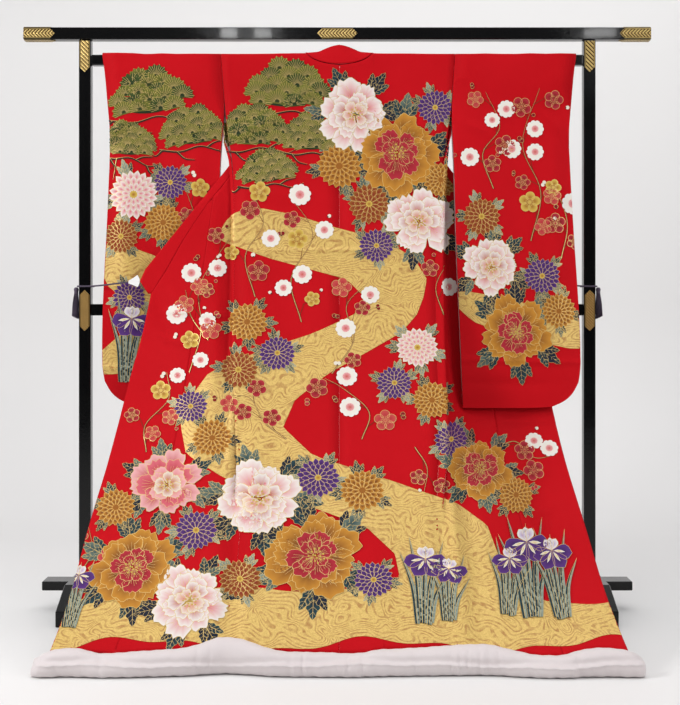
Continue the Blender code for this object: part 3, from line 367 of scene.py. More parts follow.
def gilt_material(name, run, across, middle, bright, dark, fine=660.0, one_way=0.0):
    """Gilt brass whose cuts run along one axis; middle is the plate's middle line on the other."""
    made, tree, shader = new_material(name, bright, 0.34, 1.0)
    split = on_object(tree, "ShaderNodeSeparateXYZ")
    feathers = plain_node(tree, "ShaderNodeGroup", node_tree=CHASED, Fine=fine, One_Way=one_way)
    tarnish = on_object(tree, "ShaderNodeTexNoise", Scale=70.0, Detail=4.0)
    base = mix_node(tree, bright, [c * 0.62 for c in bright])
    cut = mix_node(tree, high=dark)
    centred = math_steps(tree)("SUBTRACT", split.outputs[across], middle)
    tree.links.new(centred, feathers.inputs["Across"])
    wire(tree, (split, run, feathers, "Run"), (tarnish, "Fac", base, "Factor"), (base, "Result", cut, "A"),
         (feathers, "Cuts", cut, "Factor"), (cut, "Result", shader, "Base Color"))
    raise_surface(tree, shader, feathers, "Height", 0.6 if one_way else 0.9, 0.0012)
    return made


BRIGHT_GILT, CUT_GILT = (0.62, 0.45, 0.17), (0.055, 0.022, 0.006)
# The waist plates' gilt and its cuts are darker copies of the top plates' gilt and cuts: painted shade.
SHADED_GILT, SHADED_CUT_GILT = (0.38, 0.24, 0.08), (0.19, 0.10, 0.032)
bar_middle = (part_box("top_bar")[0].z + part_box("top_bar")[1].z) / 2
gilt_looks = {"bar": gilt_material("gilt_bar", "X", "Z", bar_middle, BRIGHT_GILT, CUT_GILT),
              "flat": gilt_material("gilt_flat", "X", "Y", posts_y, BRIGHT_GILT, CUT_GILT)}
for side, x in (("left", -POST_X), ("right", POST_X)):
    # The waist plates take the darker copies, which paint shade onto them.
    for level, bright, dark, fine in (("top", BRIGHT_GILT, CUT_GILT, 540.0),
                                      ("waist", SHADED_GILT, SHADED_CUT_GILT, 760.0)):
        look = level + "_" + side
        gilt_looks[look] = gilt_material("gilt_" + look, "Z", "X", x, bright, dark, fine, 1.0)
for name, node in nodes.items():
    if name.startswith("plate_"):
        words = name.split("_")
        look = "_".join(words[1:3]) if words[1] in ("top", "waist") else "bar"
        cover(node, gilt_looks["flat" if words[-1] in ("under", "over") else look])


# --- panels of the robe ----------------------------------------------------------------------------
# Red figured silk lined with pale silk, cut in narrow panels: two backs, two fronts, two overlaps,
# the sleeves' halves and the collar.  Each panel is a thin shell on its own form, its main creases
# pressed in as soft ridges and troughs, so that lining and silk move together.
WALL, COLLAR_WALL = 0.002, 0.0026
WELD = 0.00002                                  # corners closer than this are one
SUBDIVISIONS = 3
SEAM_PUSH = 0.00013                             # outwards at every rim, across half of a seam's gap
SEAM_REACH, SEAM_LEFT = 0.007, 0.0001           # how far a sewn rim looks, and the gap it leaves
MIDDLE_REACH, MIDDLE_LEFT = 0.0016, 0.00005     # the same for the middle seam, on each side
SHARP_EDGE, CORNER_BEND = math.radians(50), math.radians(14)
CLOTH, INSIDE, EDGE = 0, 1, 2                   # a face's side and its material; an edge ends as cloth
SIDE_LOOK = 0.3                                 # a seed looks at least this much to the front or rear
TOP_START, TOP_FADE = 1.585, 0.012              # where the fold over the rail begins, and how soon
ARMHOLE_START, ARMHOLE_EDGE = 0.292, 0.320
ARMHOLE_PULL = {"left": ((1.29, 0.0), (1.345, 0.012), (1.40, 0.009), (1.46, 0.004), (1.50, 0.0)),
                "right": ((1.275, 0.0), (1.333, 0.014), (1.37, 0.0135), (1.42, 0.006), (1.48, 0.0))}

silk, silk_tree, silk_shader = new_material("red_silk", (0.38, 0.004, 0.008), 0.6, Specular_IOR_Level=0.05)
lining, lining_tree, lining_shader = new_material("pale_lining", (0.69, 0.64, 0.68), 0.6, Sheen_Weight=0.25)


def weave_group():
    """Plain silk weave seen close: a fine crossing of threads over a slight crepe unevenness."""
    group, enter, leave = new_group(
        "silk_weave", {"Deep Colour": "Color", "Light Colour": "Color", "Bump": "Float"},
        {"Colour": "Color", "Normal": "Vector"})
    step = math_steps(group)
    cloud = on_object(group, "ShaderNodeTexNoise", Scale=5.0, Detail=4.0)
    crepe = on_object(group, "ShaderNodeTexNoise", Scale=650.0, Detail=2.0)
    threads = [on_object(group, "ShaderNodeTexWave", bands_direction=axis, Scale=520.0, Distortion=1.2,
                         Detail=1.0) for axis in ("X", "Z")]
    bump = plain_node(group, "ShaderNodeBump", Distance=0.0003)
    mix = mix_node(group)
    uneven = crepe.outputs["Fac"]
    cross = step("MULTIPLY", threads[0].outputs["Fac"], threads[1].outputs["Fac"])
    group.links.new(step("ADD", cross, uneven), bump.inputs["Height"])
    group.links.new(step("MULTIPLY_ADD", uneven, 0.35, cloud.outputs["Fac"]), mix.inputs["Factor"])
    wire(group, (enter, "Bump", bump, "Strength"), (enter, "Deep Colour", mix, "A"),
         (enter, "Light Colour", mix, "B"), (mix, "Result", leave, "Colour"),
         (bump, "Normal", leave, "Normal"))
    return group


WEAVE = weave_group()
for tree, shader, deep, light, bump in (
        (silk_tree, silk_shader, (0.385, 0.0018, 0.005), (0.490, 0.0045, 0.0095), 0.35),
        (lining_tree, lining_shader, (0.535, 0.472, 0.474), (0.65, 0.588, 0.583), 0.25)):
    weave = plain_node(tree, "ShaderNodeGroup", node_tree=WEAVE, Deep_Colour=(*deep, 1),
                       Light_Colour=(*light, 1), Bump=bump)
    wire(tree, (weave, "Colour", shader, "Base Color"), (weave, "Normal", shader, "Normal"))

# Creases: from and to (half width from the garment's middle line, height), how far the cloth
# stands forward (+) or back (-) there, and the width of the crease, all in metres.
BODY_CREASES = (
    (-0.322, 1.20, -0.318, 0.50, -0.0090, 0.020), (-0.308, 1.24, -0.306, 0.46, -0.0050, 0.007),
    (0.322, 1.22, 0.318, 0.60, -0.0070, 0.018), (0.308, 1.24, 0.306, 0.48, -0.0050, 0.007),
    (-0.262, 0.52, -0.262, 0.07, -0.0130, 0.024), (-0.235, 0.50, -0.215, 0.09, 0.0080, 0.022),
    (0.278, 0.62, 0.300, 0.08, 0.0110, 0.020), (0.255, 0.55, 0.262, 0.10, -0.0090, 0.020),
    (0.325, 0.50, 0.350, 0.09, -0.0080, 0.028), (-0.120, 0.44, -0.140, 0.11, 0.0060, 0.038),
    (0.060, 0.40, 0.085, 0.10, 0.0050, 0.040), (0.165, 0.46, 0.175, 0.13, -0.0050, 0.034),
    (-0.055, 0.34, -0.060, 0.10, -0.0064, 0.030), (0.130, 1.02, 0.150, 0.60, -0.0035, 0.036),
    (-0.150, 1.08, -0.130, 0.66, -0.0038, 0.040), (0.235, 1.10, 0.225, 0.66, 0.0035, 0.028),
    (-0.235, 1.05, -0.225, 0.62, 0.0035, 0.030), (0.045, 0.92, 0.055, 0.56, 0.0029, 0.034),
    (-0.300, 1.22, -0.120, 1.17, 0.0035, 0.015), (-0.290, 1.36, -0.190, 1.42, 0.0048, 0.014),
    (-0.285, 1.30, -0.215, 1.335, -0.0035, 0.012), (0.100, 1.43, 0.270, 1.385, 0.0042, 0.014),
    (0.270, 1.375, 0.210, 1.355, -0.0035, 0.012), (-0.270, 1.03, 0.250, 1.035, 0.0022, 0.006),
    (-0.080, 1.50, -0.150, 1.45, 0.0035, 0.018), (0.070, 1.53, 0.130, 1.47, 0.0035, 0.016),
    (-0.490, 0.93, -0.300, 0.72, 0.0060, 0.022), (-0.520, 0.90, -0.400, 0.62, -0.0045, 0.020),
    (-0.480, 0.86, -0.290, 0.845, 0.0045, 0.007), (-0.505, 0.79, -0.420, 0.765, 0.0048, 0.007),
    (-0.455, 0.80, -0.380, 0.45, 0.0070, 0.032), (-0.420, 0.62, -0.430, 0.25, -0.0060, 0.030),
    (-0.300, 0.90, -0.310, 0.55, -0.0060, 0.024), (-0.520, 0.45, -0.560, 0.16, 0.0065, 0.034),
    (-0.555, 0.53, -0.480, 0.505, 0.0045, 0.008), (-0.470, 0.42, -0.490, 0.10, -0.0055, 0.030),
    (0.345, 0.545, 0.620, 0.560, 0.0048, 0.008), (0.370, 0.515, 0.500, 0.505, -0.0045, 0.010),
    (0.420, 0.56, 0.440, 0.22, 0.0060, 0.034), (0.520, 0.52, 0.575, 0.16, -0.0060, 0.034),
    (0.330, 0.60, 0.365, 0.33, 0.0060, 0.026), (-0.600, 0.30, -0.640, 0.12, 0.0045, 0.026),
    (0.590, 0.34, 0.520, 0.325, 0.0054, 0.008), (0.470, 0.30, 0.490, 0.09, 0.0060, 0.032),
    (0.300, 0.235, 0.215, 0.225, 0.0048, 0.008), (-0.320, 0.34, -0.300, 0.10, 0.0060, 0.026),
)
SLEEVE_CREASES = {
    "left": ((-0.690, 0.705, -0.560, 0.690, 0.0048, 0.007), (-0.560, 0.690, -0.340, 0.700, 0.0029, 0.007),
             (-0.630, 1.32, -0.600, 0.85, 0.0054, 0.032), (-0.520, 1.38, -0.540, 0.95, -0.0048, 0.034),
             (-0.400, 1.36, -0.420, 1.10, 0.0042, 0.026), (-0.660, 1.36, -0.600, 1.42, 0.0038, 0.014),
             (-0.640, 1.560, -0.570, 1.470, 0.0064, 0.013), (-0.600, 1.555, -0.530, 1.490, -0.0032, 0.011),
             (-0.680, 1.28, -0.620, 1.25, -0.0029, 0.010), (-0.660, 0.98, -0.600, 0.78, 0.0042, 0.026)),
    "right": ((0.330, 0.725, 0.700, 0.715, 0.0048, 0.007), (0.620, 1.32, 0.610, 0.85, 0.0051, 0.034),
              (0.510, 1.36, 0.500, 0.90, -0.0048, 0.038), (0.400, 1.30, 0.405, 0.80, 0.0042, 0.030),
              (0.640, 1.37, 0.585, 1.43, 0.0038, 0.014), (0.345, 0.66, 0.600, 0.655, -0.0029, 0.016),
              (0.650, 1.560, 0.600, 1.480, 0.0054, 0.013), (0.360, 1.40, 0.450, 1.36, 0.0035, 0.014)),
}

# Where the folded cloth stands a little above the rail: x, how far, and the width.
TOP_RISES = ((-0.655, 0.0040, 0.040), (-0.585, 0.0032, 0.016), (-0.548, -0.0010, 0.010),
             (-0.520, 0.0022, 0.018), (-0.410, 0.0008, 0.040), (-0.150, 0.0010, 0.060),
             (0.190, 0.0010, 0.050), (0.420, 0.0012, 0.030), (0.560, 0.0020, 0.030), (0.655, 0.0032, 0.022))


def crease_depth(x, z, creases):
    """How far forward the cloth stands at places x, z (arrays), from all the creases near them."""
    total = np.zeros_like(x)
    for x0, z0, x1, z1, depth, width in creases:
        dx, dz = x1 - x0, z1 - z0
        square = dx * dx + dz * dz
        share = ((x - x0) * dx + (z - z0) * dz) / square
        across = np.abs((x - x0) * dz - (z - z0) * dx) / math.sqrt(square)
        inside = np.clip(share, 0, 1)
        past = np.abs(share - inside) * math.sqrt(square)
        fade = np.sin(np.pi * np.clip(inside * 0.8 + 0.1, 0, 1)) ** 0.7
        total += depth * fade * np.exp(-(across / width) ** 2 - (past / (2.5 * width)) ** 2)
    return total


def quad_shape(node, face_turn, shape_turn):
    """A node's solid with its triangles joined to four-sided faces again."""
    shape = bmesh.new()
    shape.from_mesh(nodes[node].data)
    bmesh.ops.remove_doubles(shape, verts=shape.verts, dist=WELD)
    bmesh.ops.join_triangles(shape, faces=shape.faces, angle_face_threshold=math.radians(face_turn),
                             angle_shape_threshold=math.radians(shape_turn))
    return shape


def smooth_piece(name, shape, levels):
    """An object with a shape's smooth surface."""
    coarse = bpy.data.meshes.new(name)
    shape.to_mesh(coarse)
    shape.free()
    piece = bpy.data.objects.new(name, coarse)
    bpy.context.scene.collection.objects.link(piece)
    finer = piece.modifiers.new("finer", "SUBSURF")
    finer.levels = finer.render_levels = levels
    piece.data = bpy.data.meshes.new_from_object(piece.evaluated_get(bpy.context.evaluated_depsgraph_get()))
    piece.modifiers.clear()
    piece.data.shade_smooth()
    bpy.data.meshes.remove(coarse)
    piece.data.name = name
    return piece


def rim_faces(shape, wall, sharp):
    """The narrow faces round a wall's edge: as wide as the wall is thick, between two sharp edges."""
    rim = set()
    for face in shape.faces:
        longest = max(edge.calc_length() for edge in face.edges)
        corners = len(face.verts)
        width = face.calc_area() / longest * (2 if corners == 3 else 1)
        bounds = sum(edge in sharp and edge.calc_length() > 0.6 * longest for edge in face.edges)
        if width < wall * 1.2 and bounds >= (1 if corners == 3 else 2):
            rim.add(face)
    return rim


def wall_sides(shape, rim, wall, seed):
    """Which side of the wall each face is on, grown from the seeds across the flattest edges first and
    through the wall, whose far face always has the other side."""
    shape.faces.ensure_lookup_table()
    tree = BVHTree.FromPolygons([vert.co for vert in shape.verts],
                                [[vert.index for vert in face.verts] for face in shape.faces])
    across = {}
    for face in shape.faces:
        start = face.calc_center_median() - face.normal * 0.0001
        _, normal, index, _ = tree.ray_cast(start, -face.normal, wall * 1.6)
        if index is not None and normal.dot(face.normal) < -0.5:
            across[face] = shape.faces[index]
    side, heap = {}, []
    for number, face in enumerate(shape.faces):
        if face not in rim:
            started = seed(face)
            if started is not None:
                heap.append((0.0, number, face, started))
    heapq.heapify(heap)
    count = len(shape.faces)
    while heap:
        bend, number, face, which = heapq.heappop(heap)
        if face in side:
            continue
        side[face] = which
        far = across.get(face)
        if far is not None and far not in side and far not in rim:
            count += 1
            heapq.heappush(heap, (bend, count, far, CLOTH + INSIDE - which))
        for edge in face.edges:
            for other in edge.link_faces:
                if other not in side and other not in rim:
                    count += 1
                    heapq.heappush(heap, (max(bend, edge.calc_face_angle(0)), count, other, which))
    return side


def shell_from(node, wall, seed, levels=SUBDIVISIONS):
    """A node's wall as a smooth shell: four-sided faces again, each side with its own cloth."""
    shape = quad_shape(node, 60, 180)
    crease = shape.edges.layers.float.new("crease_edge")
    corner = shape.verts.layers.float.new("crease_vert")
    shape.verts.index_update()
    shape.normal_update()
    sharp = {edge for edge in shape.edges if edge.calc_face_angle(0) > SHARP_EDGE}
    rim = rim_faces(shape, wall, sharp)
    outline = {edge for edge in sharp if any(face in rim for face in edge.link_faces)}
    for edge in outline:
        edge[crease] = 1.0
    for vert in shape.verts:
        ends = [edge.other_vert(vert).co - vert.co for edge in vert.link_edges if edge in outline]
        if len(ends) == 2 and math.pi - ends[0].angle(ends[1]) > CORNER_BEND:
            vert[corner] = 1.0
    side = wall_sides(shape, rim, wall, seed)
    for face in shape.faces:
        face.material_index = EDGE if face in rim else side.get(face, CLOTH)
    piece = smooth_piece("shell_" + node, shape, levels)
    outward = {}
    for face in piece.data.polygons:
        if face.material_index == EDGE:
            for index in face.vertices:
                outward[index] = outward.get(index, Vector()) + face.normal
            face.material_index = CLOTH
    for index, push in outward.items():
        piece.data.vertices[index].co += push.normalized() * SEAM_PUSH
    piece.data.materials.append(silk)
    piece.data.materials.append(lining)
    rims[node] = sorted(outward)
    return piece


def sew(node, onto):
    """Draws a panel's rim up to the pieces that it is sewn onto, so that their seam has no slit."""
    piece = shells[node]
    for other in onto:
        mesh = shells[other].data
        tree = BVHTree.FromPolygons([vert.co for vert in mesh.vertices],
                                    [face.vertices for face in mesh.polygons])
        for index in rims[node]:
            vert = piece.data.vertices[index]
            place, _, _, distance = tree.find_nearest(vert.co, SEAM_REACH)
            if place is not None and distance > SEAM_LEFT:
                vert.co = place + (vert.co - place).normalized() * SEAM_LEFT


def widen_at_armhole(piece, sign, rows):
    """Draws a front's edge out to the sleeve above the opening: rows are heights and how far."""
    heights, pulls = zip(*rows)
    for vert in piece.data.vertices:
        out = (vert.co.x - GARMENT_X) * sign
        if out > ARMHOLE_START and heights[0] < vert.co.z < heights[-1]:
            share = (out - ARMHOLE_START) / (ARMHOLE_EDGE - ARMHOLE_START)
            pull = float(np.interp(vert.co.z, heights, pulls))
            vert.co.x += sign * pull * min(1.0, share) ** 2


def close_middle(piece, sign):
    """Brings a back panel's edge to the middle seam, where the two backs are sewn together."""
    for vert in piece.data.vertices:
        if (vert.co.x - GARMENT_X) * sign < MIDDLE_REACH:
            vert.co.x = GARMENT_X + sign * MIDDLE_LEFT


def press(piece, creases):
    """Presses the creases into a shell: both its sides move alike."""
    count = len(piece.data.vertices)
    places = np.empty(count * 3, np.float32)
    piece.data.vertices.foreach_get("co", places)
    places = places.reshape(-1, 3)
    x, z = places[:, 0] - GARMENT_X, places[:, 2]
    places[:, 1] -= crease_depth(x.astype(float), z.astype(float), creases)
    high = np.clip((z - TOP_START) / TOP_FADE, 0, 1)
    for at, rise, width in TOP_RISES:
        places[:, 2] += high * rise * np.exp(-((x - at) / width) ** 2)
    piece.data.vertices.foreach_set("co", places.ravel())
    piece.data.update()


def faces_are_silk(facing, below=math.inf):
    """Gives a seed: below a height, a face that looks along facing is silk, and one that looks against
    it is lining; the others aren't told."""
    def seed(face):
        if face.calc_center_median().z >= below or abs(face.normal.y) < SIDE_LOOK:
            return None
        return CLOTH if face.normal.y * facing > 0 else INSIDE
    return seed


TO_VIEWER, BELOW_FOLDS, TO_REAR = faces_are_silk(-1), faces_are_silk(-1, 0.25), faces_are_silk(1)
shells, rims = {}, {}
for side in ("left", "right"):
    sign = -1 if side == "left" else 1
    for part, seed in (("back", TO_VIEWER), ("front", BELOW_FOLDS), ("overlap", TO_VIEWER)):
        node = part + "_" + side
        shells[node] = shell_from(node, WALL, seed)
        if part == "back":
            close_middle(shells[node], sign)
        if part == "front":
            widen_at_armhole(shells[node], sign, ARMHOLE_PULL[side])
        press(shells[node], BODY_CREASES)
    for part, seed, levels in (("outer", TO_VIEWER, SUBDIVISIONS), ("inner", TO_REAR, SUBDIVISIONS - 1)):
        node = "sleeve_%s_%s" % (side, part)
        shells[node] = shell_from(node, WALL, seed, levels)
        press(shells[node], SLEEVE_CREASES[side])
shells["collar"] = shell_from("collar", COLLAR_WALL, lambda face: CLOTH, SUBDIVISIONS - 1)
press(shells["collar"], BODY_CREASES)
for side in ("left", "right"):
    sew("front_" + side, ["collar"])
    sew("overlap_" + side, ["collar", "front_" + side])

# Each shell hangs from the root in place of its part, which is hidden.
for node, shell in shells.items():
    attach(shell, "root")
    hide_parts(node)


# --- dyed and gilded pattern -----------------------------------------------------------------------
# Flowers dyed into the silk and outlined in gold thread, over a stream and a shore of gold leaf:
# peonies, chrysanthemums, plum twigs, pines and irises.  Each motif is a thin skin laid on the
# panels, so it follows their folds and stops at their edges.
SKIN_LIFT, LAYER_STEP = 0.0010, 0.00005  # of a skin over the cloth, and of each layer over the last
SEAM_STEP, MIDDLE_GAP = 0.0015, 0.0013   # panels closer than this count as one; the middle seam's half width
LONGEST_EDGE = 0.0105                    # of a triangle on whole cloth
WHOLE_LEAST, SHARED_LEAST = 0.0022, 0.003  # shorter ones are dropped at a step and at the cloth's edge
STEEPEST, STEP_LEAST = 1.7, 0.002        # a rise above this slope and length is a step between two folds
DYE_SHARE = 0.80                         # of an ink's own lightness
STREAM, TWIG, LEAF, BLOSSOM, MUM, PEONY, IRIS = 0, 4, 8, 16, 22, 30, 40

INK = {
    "cream": (0.93, 0.89, 0.82), "white": (0.95, 0.93, 0.90), "blush": (0.93, 0.70, 0.70),
    "pink": (0.86, 0.42, 0.47), "rose": (0.72, 0.16, 0.22), "crimson": (0.52, 0.04, 0.08),
    "salmon": (0.80, 0.32, 0.28), "gold": (0.76, 0.60, 0.28), "amber": (0.62, 0.38, 0.12),
    "ochre": (0.80, 0.55, 0.18), "umber": (0.42, 0.18, 0.06), "lemon": (0.88, 0.76, 0.34),
    "violet": (0.36, 0.19, 0.50), "plum": (0.22, 0.10, 0.34), "lilac": (0.72, 0.62, 0.80),
    "navy": (0.07, 0.11, 0.18), "teal": (0.13, 0.27, 0.29), "sage": (0.42, 0.47, 0.42),
    "mist": (0.62, 0.66, 0.60), "moss": (0.24, 0.31, 0.11), "pine": (0.10, 0.17, 0.07),
    "olive": (0.46, 0.46, 0.16), "bark": (0.20, 0.12, 0.08),
}


def linear(colour):
    """A colour as the shader wants it, from the one that is seen."""
    return tuple(((c + 0.055) / 1.055) ** 2.4 if c > 0.04 else c / 12.92 for c in colour)


INK = {name: tuple(DYE_SHARE * c for c in linear(colour)) for name, colour in INK.items()}


def silk_drop(z):
    """How far forward the back of the robe stands at height z, as it slopes out to the hem."""
    return 0.703 * max(0.0, 1 - z / 1.595) ** 2.24


DROP_Z = [0.02 * step for step in range(81)]
DROP_RUN = [0.0]
for low, high in zip(DROP_Z, DROP_Z[1:]):
    DROP_RUN.append(DROP_RUN[-1] + math.hypot(high - low, silk_drop(low) - silk_drop(high)))


class Ground:
    """Something that motifs are laid on: panels hit by level lines from one side."""

    def __init__(self, panels, facing=1, sloped=False):
        self.facing, self.sloped = facing, sloped
        points, faces, self.owner = [], [], []
        for number, panel in enumerate(panels):
            start = len(points)
            points += [vert.co[:] for vert in panel.data.vertices]
            faces += [[start + i for i in face.vertices] for face in panel.data.polygons]
            self.owner += [number] * len(panel.data.polygons)
        self.tree = BVHTree.FromPolygons(points, faces)
        self.found = {}
        self.paint, self.thread, self.leaf = ([], [], []), ([], [], []), ([], [], [])

    def height(self, z, up):
        """The height that lies up along the cloth from height z."""
        if not self.sloped:
            return z + up
        return float(np.interp(np.interp(z, DROP_Z, DROP_RUN) + up, DROP_RUN, DROP_Z))

    def hit(self, x, z):
        """Where a level line meets the cloth: the place, the normal and the panel's number, or None."""
        if self.sloped and abs(x - GARMENT_X) < MIDDLE_GAP:
            x = GARMENT_X + MIDDLE_GAP
        key = (round(x, 5), round(z, 5))
        if key not in self.found:
            place, normal, index, _ = self.tree.ray_cast(
                Vector((x, -3.0 * self.facing, z)), Vector((0, self.facing, 0)))
            if place is not None and normal.y * self.facing > 0:
                normal = -normal
            self.found[key] = None if place is None else (place, normal, self.owner[index])
        return self.found[key]

    def lay(self, target, corners, tones, layer, depth=0):
        """Lays one flat triangle of the pattern on the cloth, cut smaller where it has to bend."""
        hits = [self.hit(x, z) for x, z in corners]
        sides = [math.dist(corners[i], corners[(i + 1) % 3]) for i in range(3)]
        longest = max(sides)
        whole = None not in hits
        if whole:
            forward = [found[0].y for found in hits]
            whole = max(forward) - min(forward) < STEEPEST * longest + STEP_LEAST
            if whole and len({found[2] for found in hits}) > 1:
                whole = SEAM_STEP > max(min(abs((b[0] - a[0]).dot(n[1])) for n in (a, b))
                                        for a in hits for b in hits)
        elif depth > 2 or longest < SHARED_LEAST or not any(hits):
            return
        if whole and longest <= LONGEST_EDGE:
            points, faces, colours = target
            start = len(points)
            points += [place + normal * (SKIN_LIFT + LAYER_STEP * layer) for place, normal, _ in hits]
            colours += tones
            faces.append((start, start + 1, start + 2) if self.facing > 0 else (start, start + 2, start + 1))
        elif whole or depth <= 3 and longest >= WHOLE_LEAST:
            i = sides.index(longest)
            j, k = (i + 1) % 3, (i + 2) % 3
            middle = tuple((corners[i][n] + corners[j][n]) / 2 for n in (0, 1))
            tone = tuple((tones[i][n] + tones[j][n]) / 2 for n in range(3))
            deeper = depth if whole else depth + 0.5
            self.lay(target, (corners[i], middle, corners[k]), (tones[i], tone, tones[k]), layer, deeper)
            self.lay(target, (middle, corners[j], corners[k]), (tone, tones[j], tones[k]), layer, deeper)

    def lay_four(self, target, corners, tones, layer):
        """Lays a four-cornered patch as two triangles."""
        for order in ((0, 1, 2), (0, 2, 3)):
            self.lay(target, tuple(corners[i] for i in order), tuple(tones[i] for i in order), layer)


def turned(angle, radius=1.0):
    """The point at an angle and a distance from the middle."""
    return radius * complex(math.cos(angle), math.sin(angle))


def ring(radius, corners, middle=0):
    """Points of a round outline."""
    return [middle + turned(math.tau * i / corners, radius) for i in range(corners)]


class Spot:
    """A place for a motif on a ground: its points are complex numbers, in metres, turned and placed."""

    def __init__(self, ground, x, z, turn=0.0):
        self.ground, self.x, self.z = ground, x + GARMENT_X, z
        self.turn = turned(math.radians(turn))

    def put(self, point):
        """A motif's point as x and height."""
        point = point * self.turn
        return (self.x + point.real, self.ground.height(self.z, point.imag))

    def at(self, point, turn=0.0):
        """A place of its own at one of this motif's points."""
        made = Spot(self.ground, 0, 0, turn)
        made.x, made.z = self.put(point)
        return made

    def fan(self, outline, middle, inner, outer, layer):
        """A patch round its middle point, shaded from the inner ink to the outer."""
        inner, outer = INK[inner], INK[outer]
        centre = self.put(middle)
        edge = [self.put(p) for p in outline]
        for a, b in zip(edge, edge[1:] + edge[:1]):
            self.ground.lay(self.ground.paint, (centre, a, b), (inner, outer, outer), layer)

    def disc(self, middle, radius, corners, inner, outer, layer):
        """A round patch."""
        self.fan(ring(radius, corners, middle), middle, inner, outer, layer)

    def line(self, points, width, layer, closed=False, ink=None, taper=False):
        """A drawn line: gold thread, or paint where an ink is given."""
        target = self.ground.thread if ink is None else self.ground.paint
        tone = INK[ink] if ink else (1.0, 1.0, 1.0)
        pts = [p * self.turn for p in points]
        count = len(pts)
        rails = []
        for i, p in enumerate(pts):
            a = pts[i - 1] if i or closed else p
            b = pts[(i + 1) % count] if i < count - 1 or closed else p
            along = b - a
            side = 1j * along / (abs(along) or 1)
            half = width / 2 * (1 - 0.75 * i / count if taper else 1)
            rails.append([(self.x + q.real, self.ground.height(self.z, q.imag))
                          for q in (p + side * half, p - side * half)])
        if closed:
            rails.append(rails[0])
        for (a, b), (c, d) in zip(rails, rails[1:]):
            self.ground.lay_four(target, (a, b, d, c), (tone,) * 4, layer)


def petal_shape(base, tip, width, points=10, blunt=0.5, ruffle=0.0, luck=None):
    """A petal's outline from its base to its tip, widest at blunt of its length."""
    along = tip - base
    side = 1j * along / (abs(along) or 1)
    half = []
    for i in range(points + 1):
        t = i / points
        bulge = math.sin(math.pi * t ** (math.log(0.5) / math.log(blunt)))
        wave = 1 + (ruffle * (luck.random() - 0.5) if luck and 0.3 < t < 0.95 else 0)
        half.append((t, max(0.0, bulge) ** 0.75 * width / 2 * wave))
    left = [base + along * t + side * w for t, w in half]
    right = [base + along * t - side * w for t, w in half[-2:0:-1]]
    return left + right


def plum_blossom(spot, r, kind, luck):
    """Five round petals, a ring of stamens and a small eye; the white ones are seen as one scalloped disc."""
    spin = luck.random() * math.tau
    if kind == "white":
        lobes = [0.88 + 0.12 * abs(math.sin(5 * math.tau * i / 40)) ** 0.6 for i in range(40)]
        spot.fan([turned(spin + math.tau * i / 40, r * lobe) for i, lobe in enumerate(lobes)], 0,
                 "cream", "white", BLOSSOM)
        spot.disc(0, r * 0.40, 14, "salmon", "blush", BLOSSOM + 1)
        for i in range(9):
            spot.line([turned(math.tau * i / 9, r * 0.14), turned(math.tau * i / 9, r * 0.38)], 0.0006,
                      BLOSSOM + 2, ink="pink")
        return
    deep, light = {"red": ("crimson", "rose"), "salmon": ("rose", "salmon"), "gold": ("amber", "lemon")}[kind]
    for lobe in range(5):
        middle = turned(spin + math.tau * lobe / 5, r * 0.56)
        petal = ring(r * 0.42, 12, middle)
        spot.fan(petal, middle * 0.75, deep, light, BLOSSOM)
        spot.line(petal, 0.0010, BLOSSOM + 1, closed=True)
    spot.disc(0, r * 0.30, 12, light, deep, BLOSSOM + 2)
    for i in range(10):
        angle = spin + math.tau * i / 10
        spot.line([turned(angle, r * 0.08), turned(angle, r * 0.36)], 0.0007, BLOSSOM + 3)
        spot.disc(turned(angle, r * 0.40), 0.0009, 4, "lemon", "lemon", BLOSSOM + 3)


def bud(spot, r, kind, luck):
    """A round bud, or two grown together, in a small dark cup."""
    twin = 0.75 * r if luck.random() < 0.4 else 0
    for middle in {-twin, twin}:
        spot.disc(middle, r, 10, kind, kind, BLOSSOM)
        if kind != "cream":
            spot.line(ring(r, 10, middle), 0.0008, BLOSSOM + 1, closed=True)
    spot.disc(-0.95j * r, r * 0.42, 7, "navy", "umber", BLOSSOM + 1)


def chrysanthemum(spot, r, kind, luck):
    """Rings of narrow petals, each outlined in gold, over a small close heart."""
    deep, light = {"gold": ("umber", "ochre"), "violet": ("plum", "violet"), "pink": ("pink", "white"),
                   "amber": ("crimson", "amber")}[kind]
    layer = MUM
    for count, reach, base, width in ((20, 1.0, 0.42, 0.27), (16, 0.76, 0.26, 0.25), (11, 0.50, 0.10, 0.22)):
        spin = luck.random()
        for i in range(count):
            angle = spin + math.tau * i / count
            far = r * reach * (0.94 + 0.08 * luck.random())
            shape = petal_shape(turned(angle, r * base), turned(angle, far), r * width, 4, 0.6)
            spot.fan(shape, turned(angle, (r * base + far) / 2), deep, light, layer)
            spot.line(shape, 0.0008, layer + 1, closed=True)
        layer += 2
    eye = "lemon" if kind != "gold" else "amber"
    spot.disc(0, r * 0.15, 10, "amber", eye, layer + 1)


def ruffled_petal(angle, near, far, half, luck):
    """A broad petal's outline about the flower's middle: a lobed and slightly torn outer edge."""
    notches = luck.choice((3, 4, 5))
    phase = luck.random() * math.tau
    tip = []
    for i in range(13):
        u = i / 6 - 1
        edge = far * (1 - 0.30 * abs(u) ** 3 + 0.045 * math.sin(notches * math.pi * u + phase)
                      + 0.020 * luck.uniform(-1, 1))
        tip.append(turned(angle + half * u, edge))
    root = [turned(angle + half * 0.50 * u, near) for u in (1, 0, -1)]
    return tip + root


